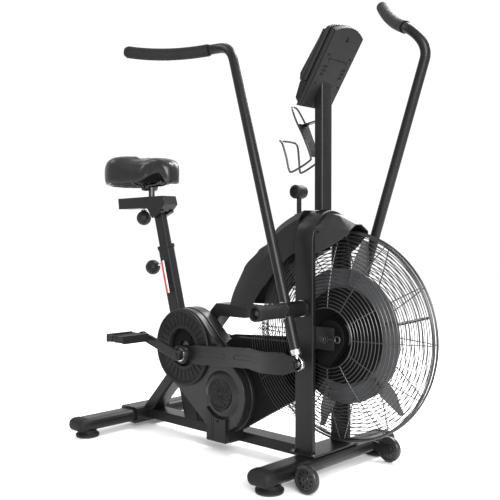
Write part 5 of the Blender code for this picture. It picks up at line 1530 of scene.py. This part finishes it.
def bottle_cage():
    """Bent wire cage riveted to a flat plate on a strap."""
    x = FRONT_X
    half = [(-0.123, -0.012, 1.053), (-0.104, -0.019, 1.018), (-0.073, -0.019, 0.962),
            (-0.049, -0.019, 0.908), (-0.056, -0.02, 0.892), (-0.112, -0.023, 0.867),
            (-0.125, -0.025, 0.873), (-0.132, -0.029, 0.91), (-0.143, -0.034, 0.95),
            (-0.158, -0.027, 0.96)]
    right = [(x + a, b, c) for a, b, c in half]
    left = [(a, -b, c) for a, b, c in reversed(right)]
    loop = right + [(x - 0.176, 0.0, 0.963)] + left + [(x - 0.13, 0.0, 1.06)]
    bm = bmesh.new()
    sweep(bm, smooth_path(loop, 8, closed=True), circle(0.0031, 12), closed=True)
    piece("cage_wire", bm, "frame", "wire", ["bottle_cage"])
    plate = bmesh.new()
    prism(plate, [(x - 0.0925, 1.004), (x - 0.0885, 1.0055), (x - 0.0455, 0.9075), (x - 0.0495, 0.906)],
          -0.0205, 0.0205)
    prism(plate, [(x - 0.09, 1.0), (x - 0.0339, 1.008), (x - 0.0339, 1.012), (x - 0.0895, 1.004)],
          -0.01, 0.01)
    piece("cage_plate", plate, "frame", "frame_paint", bevel=0.001)


# ---------------------------------------------------------------- studio
FLOOR_HALF = 60.0
WORLD_STRENGTH = 1.06
LAMP_TARGET = Vector((0.05, 0.0, 0.6))
LAMPS = (("key", (0.9, 1.4, 3.3), 1.2, 150.0), ("side", (-0.5, 3.0, 2.9), 1.8, 110.0),
         ("front", (3.3, -2.2, 1.8), 2.2, 260.0), ("rear", (-2.4, -1.2, 3.4), 1.0, 15.0))


def studio():
    floor_mesh = bpy.data.meshes.new("floor")
    size = FLOOR_HALF
    corners = [(-size, -size, 0), (size, -size, 0), (size, size, 0), (-size, size, 0)]
    floor_mesh.from_pydata(corners, [], [(0, 1, 2, 3)])
    floor = bpy.data.objects.new("floor", floor_mesh)
    floor_mesh.materials.append(surface("pale_floor", (0.955, 0.955, 0.955), 0.6, mottle=0.005))
    bpy.context.scene.collection.objects.link(floor)

    world = bpy.data.worlds.new("studio")
    world.use_nodes = True
    world.node_tree.nodes["Background"].inputs["Color"].default_value = (1.0, 1.0, 1.0, 1.0)
    world.node_tree.nodes["Background"].inputs["Strength"].default_value = WORLD_STRENGTH
    bpy.context.scene.world = world

    for name, place, width, power in LAMPS:
        light = bpy.data.lights.new(name, "AREA")
        light.size = width
        light.energy = power
        lamp = bpy.data.objects.new(name, light)
        lamp.location = place
        lamp.rotation_euler = (LAMP_TARGET - Vector(place)).to_track_quat("-Z", "Y").to_euler()
        bpy.context.scene.collection.objects.link(lamp)
    bpy.context.scene.view_settings.view_transform = "Standard"


CAMERA_TURN = math.radians(43.26)
CAMERA_TIP = math.radians(-1.254)
CAMERA_LENS_MM = 55.31
CAMERA_PLACE = (FRONT_X + 1.3452, -1.7549, 0.686)


def camera():
    turn, tip = CAMERA_TURN, CAMERA_TIP
    look = Vector((-math.sin(turn) * math.cos(tip), math.cos(turn) * math.cos(tip), math.sin(tip)))
    lens = bpy.data.cameras.new("camera")
    lens.sensor_width = 36.0
    lens.lens = CAMERA_LENS_MM
    eye = bpy.data.objects.new("camera", lens)
    eye.location = CAMERA_PLACE
    eye.rotation_euler = look.to_track_quat("-Z", "Y").to_euler()
    bpy.context.scene.collection.objects.link(eye)
    bpy.context.scene.camera = eye


# ---------------------------------------------------------------- the whole
SOFTENED = {"seat_carriage": 0.0022, "seat_tube": 0.003, "seat_post": 0.0026, "upper_beam": 0.003,
            "diagonal_strut": 0.0035, "main_beam": 0.003, "pedestal_bracket": 0.0014}


def build():
    dress_cad_nodes()
    studio()
    camera()
    for label in SIDES:
        guard(label)
        crank_set(label)
        link(label)
        pedal(label)
        handle(label)
        rod_end(label)
        foot_peg(label)
        transport_wheel(label)
        for end in ("front", "rear"):
            foot(end, label)
    fan()
    fan_axle()
    axle_plates()
    rear_shroud()
    top_cover()
    plunger()
    chain_cases()
    crank_cover()
    vent_cover()
    pedestal()
    drivetrain()
    for node, width in SOFTENED.items():
        soften(node, width)
    fork()
    mast()
    stripe()
    knobs()
    saddle()
    console()
    buttons()
    bottle_cage()


build()
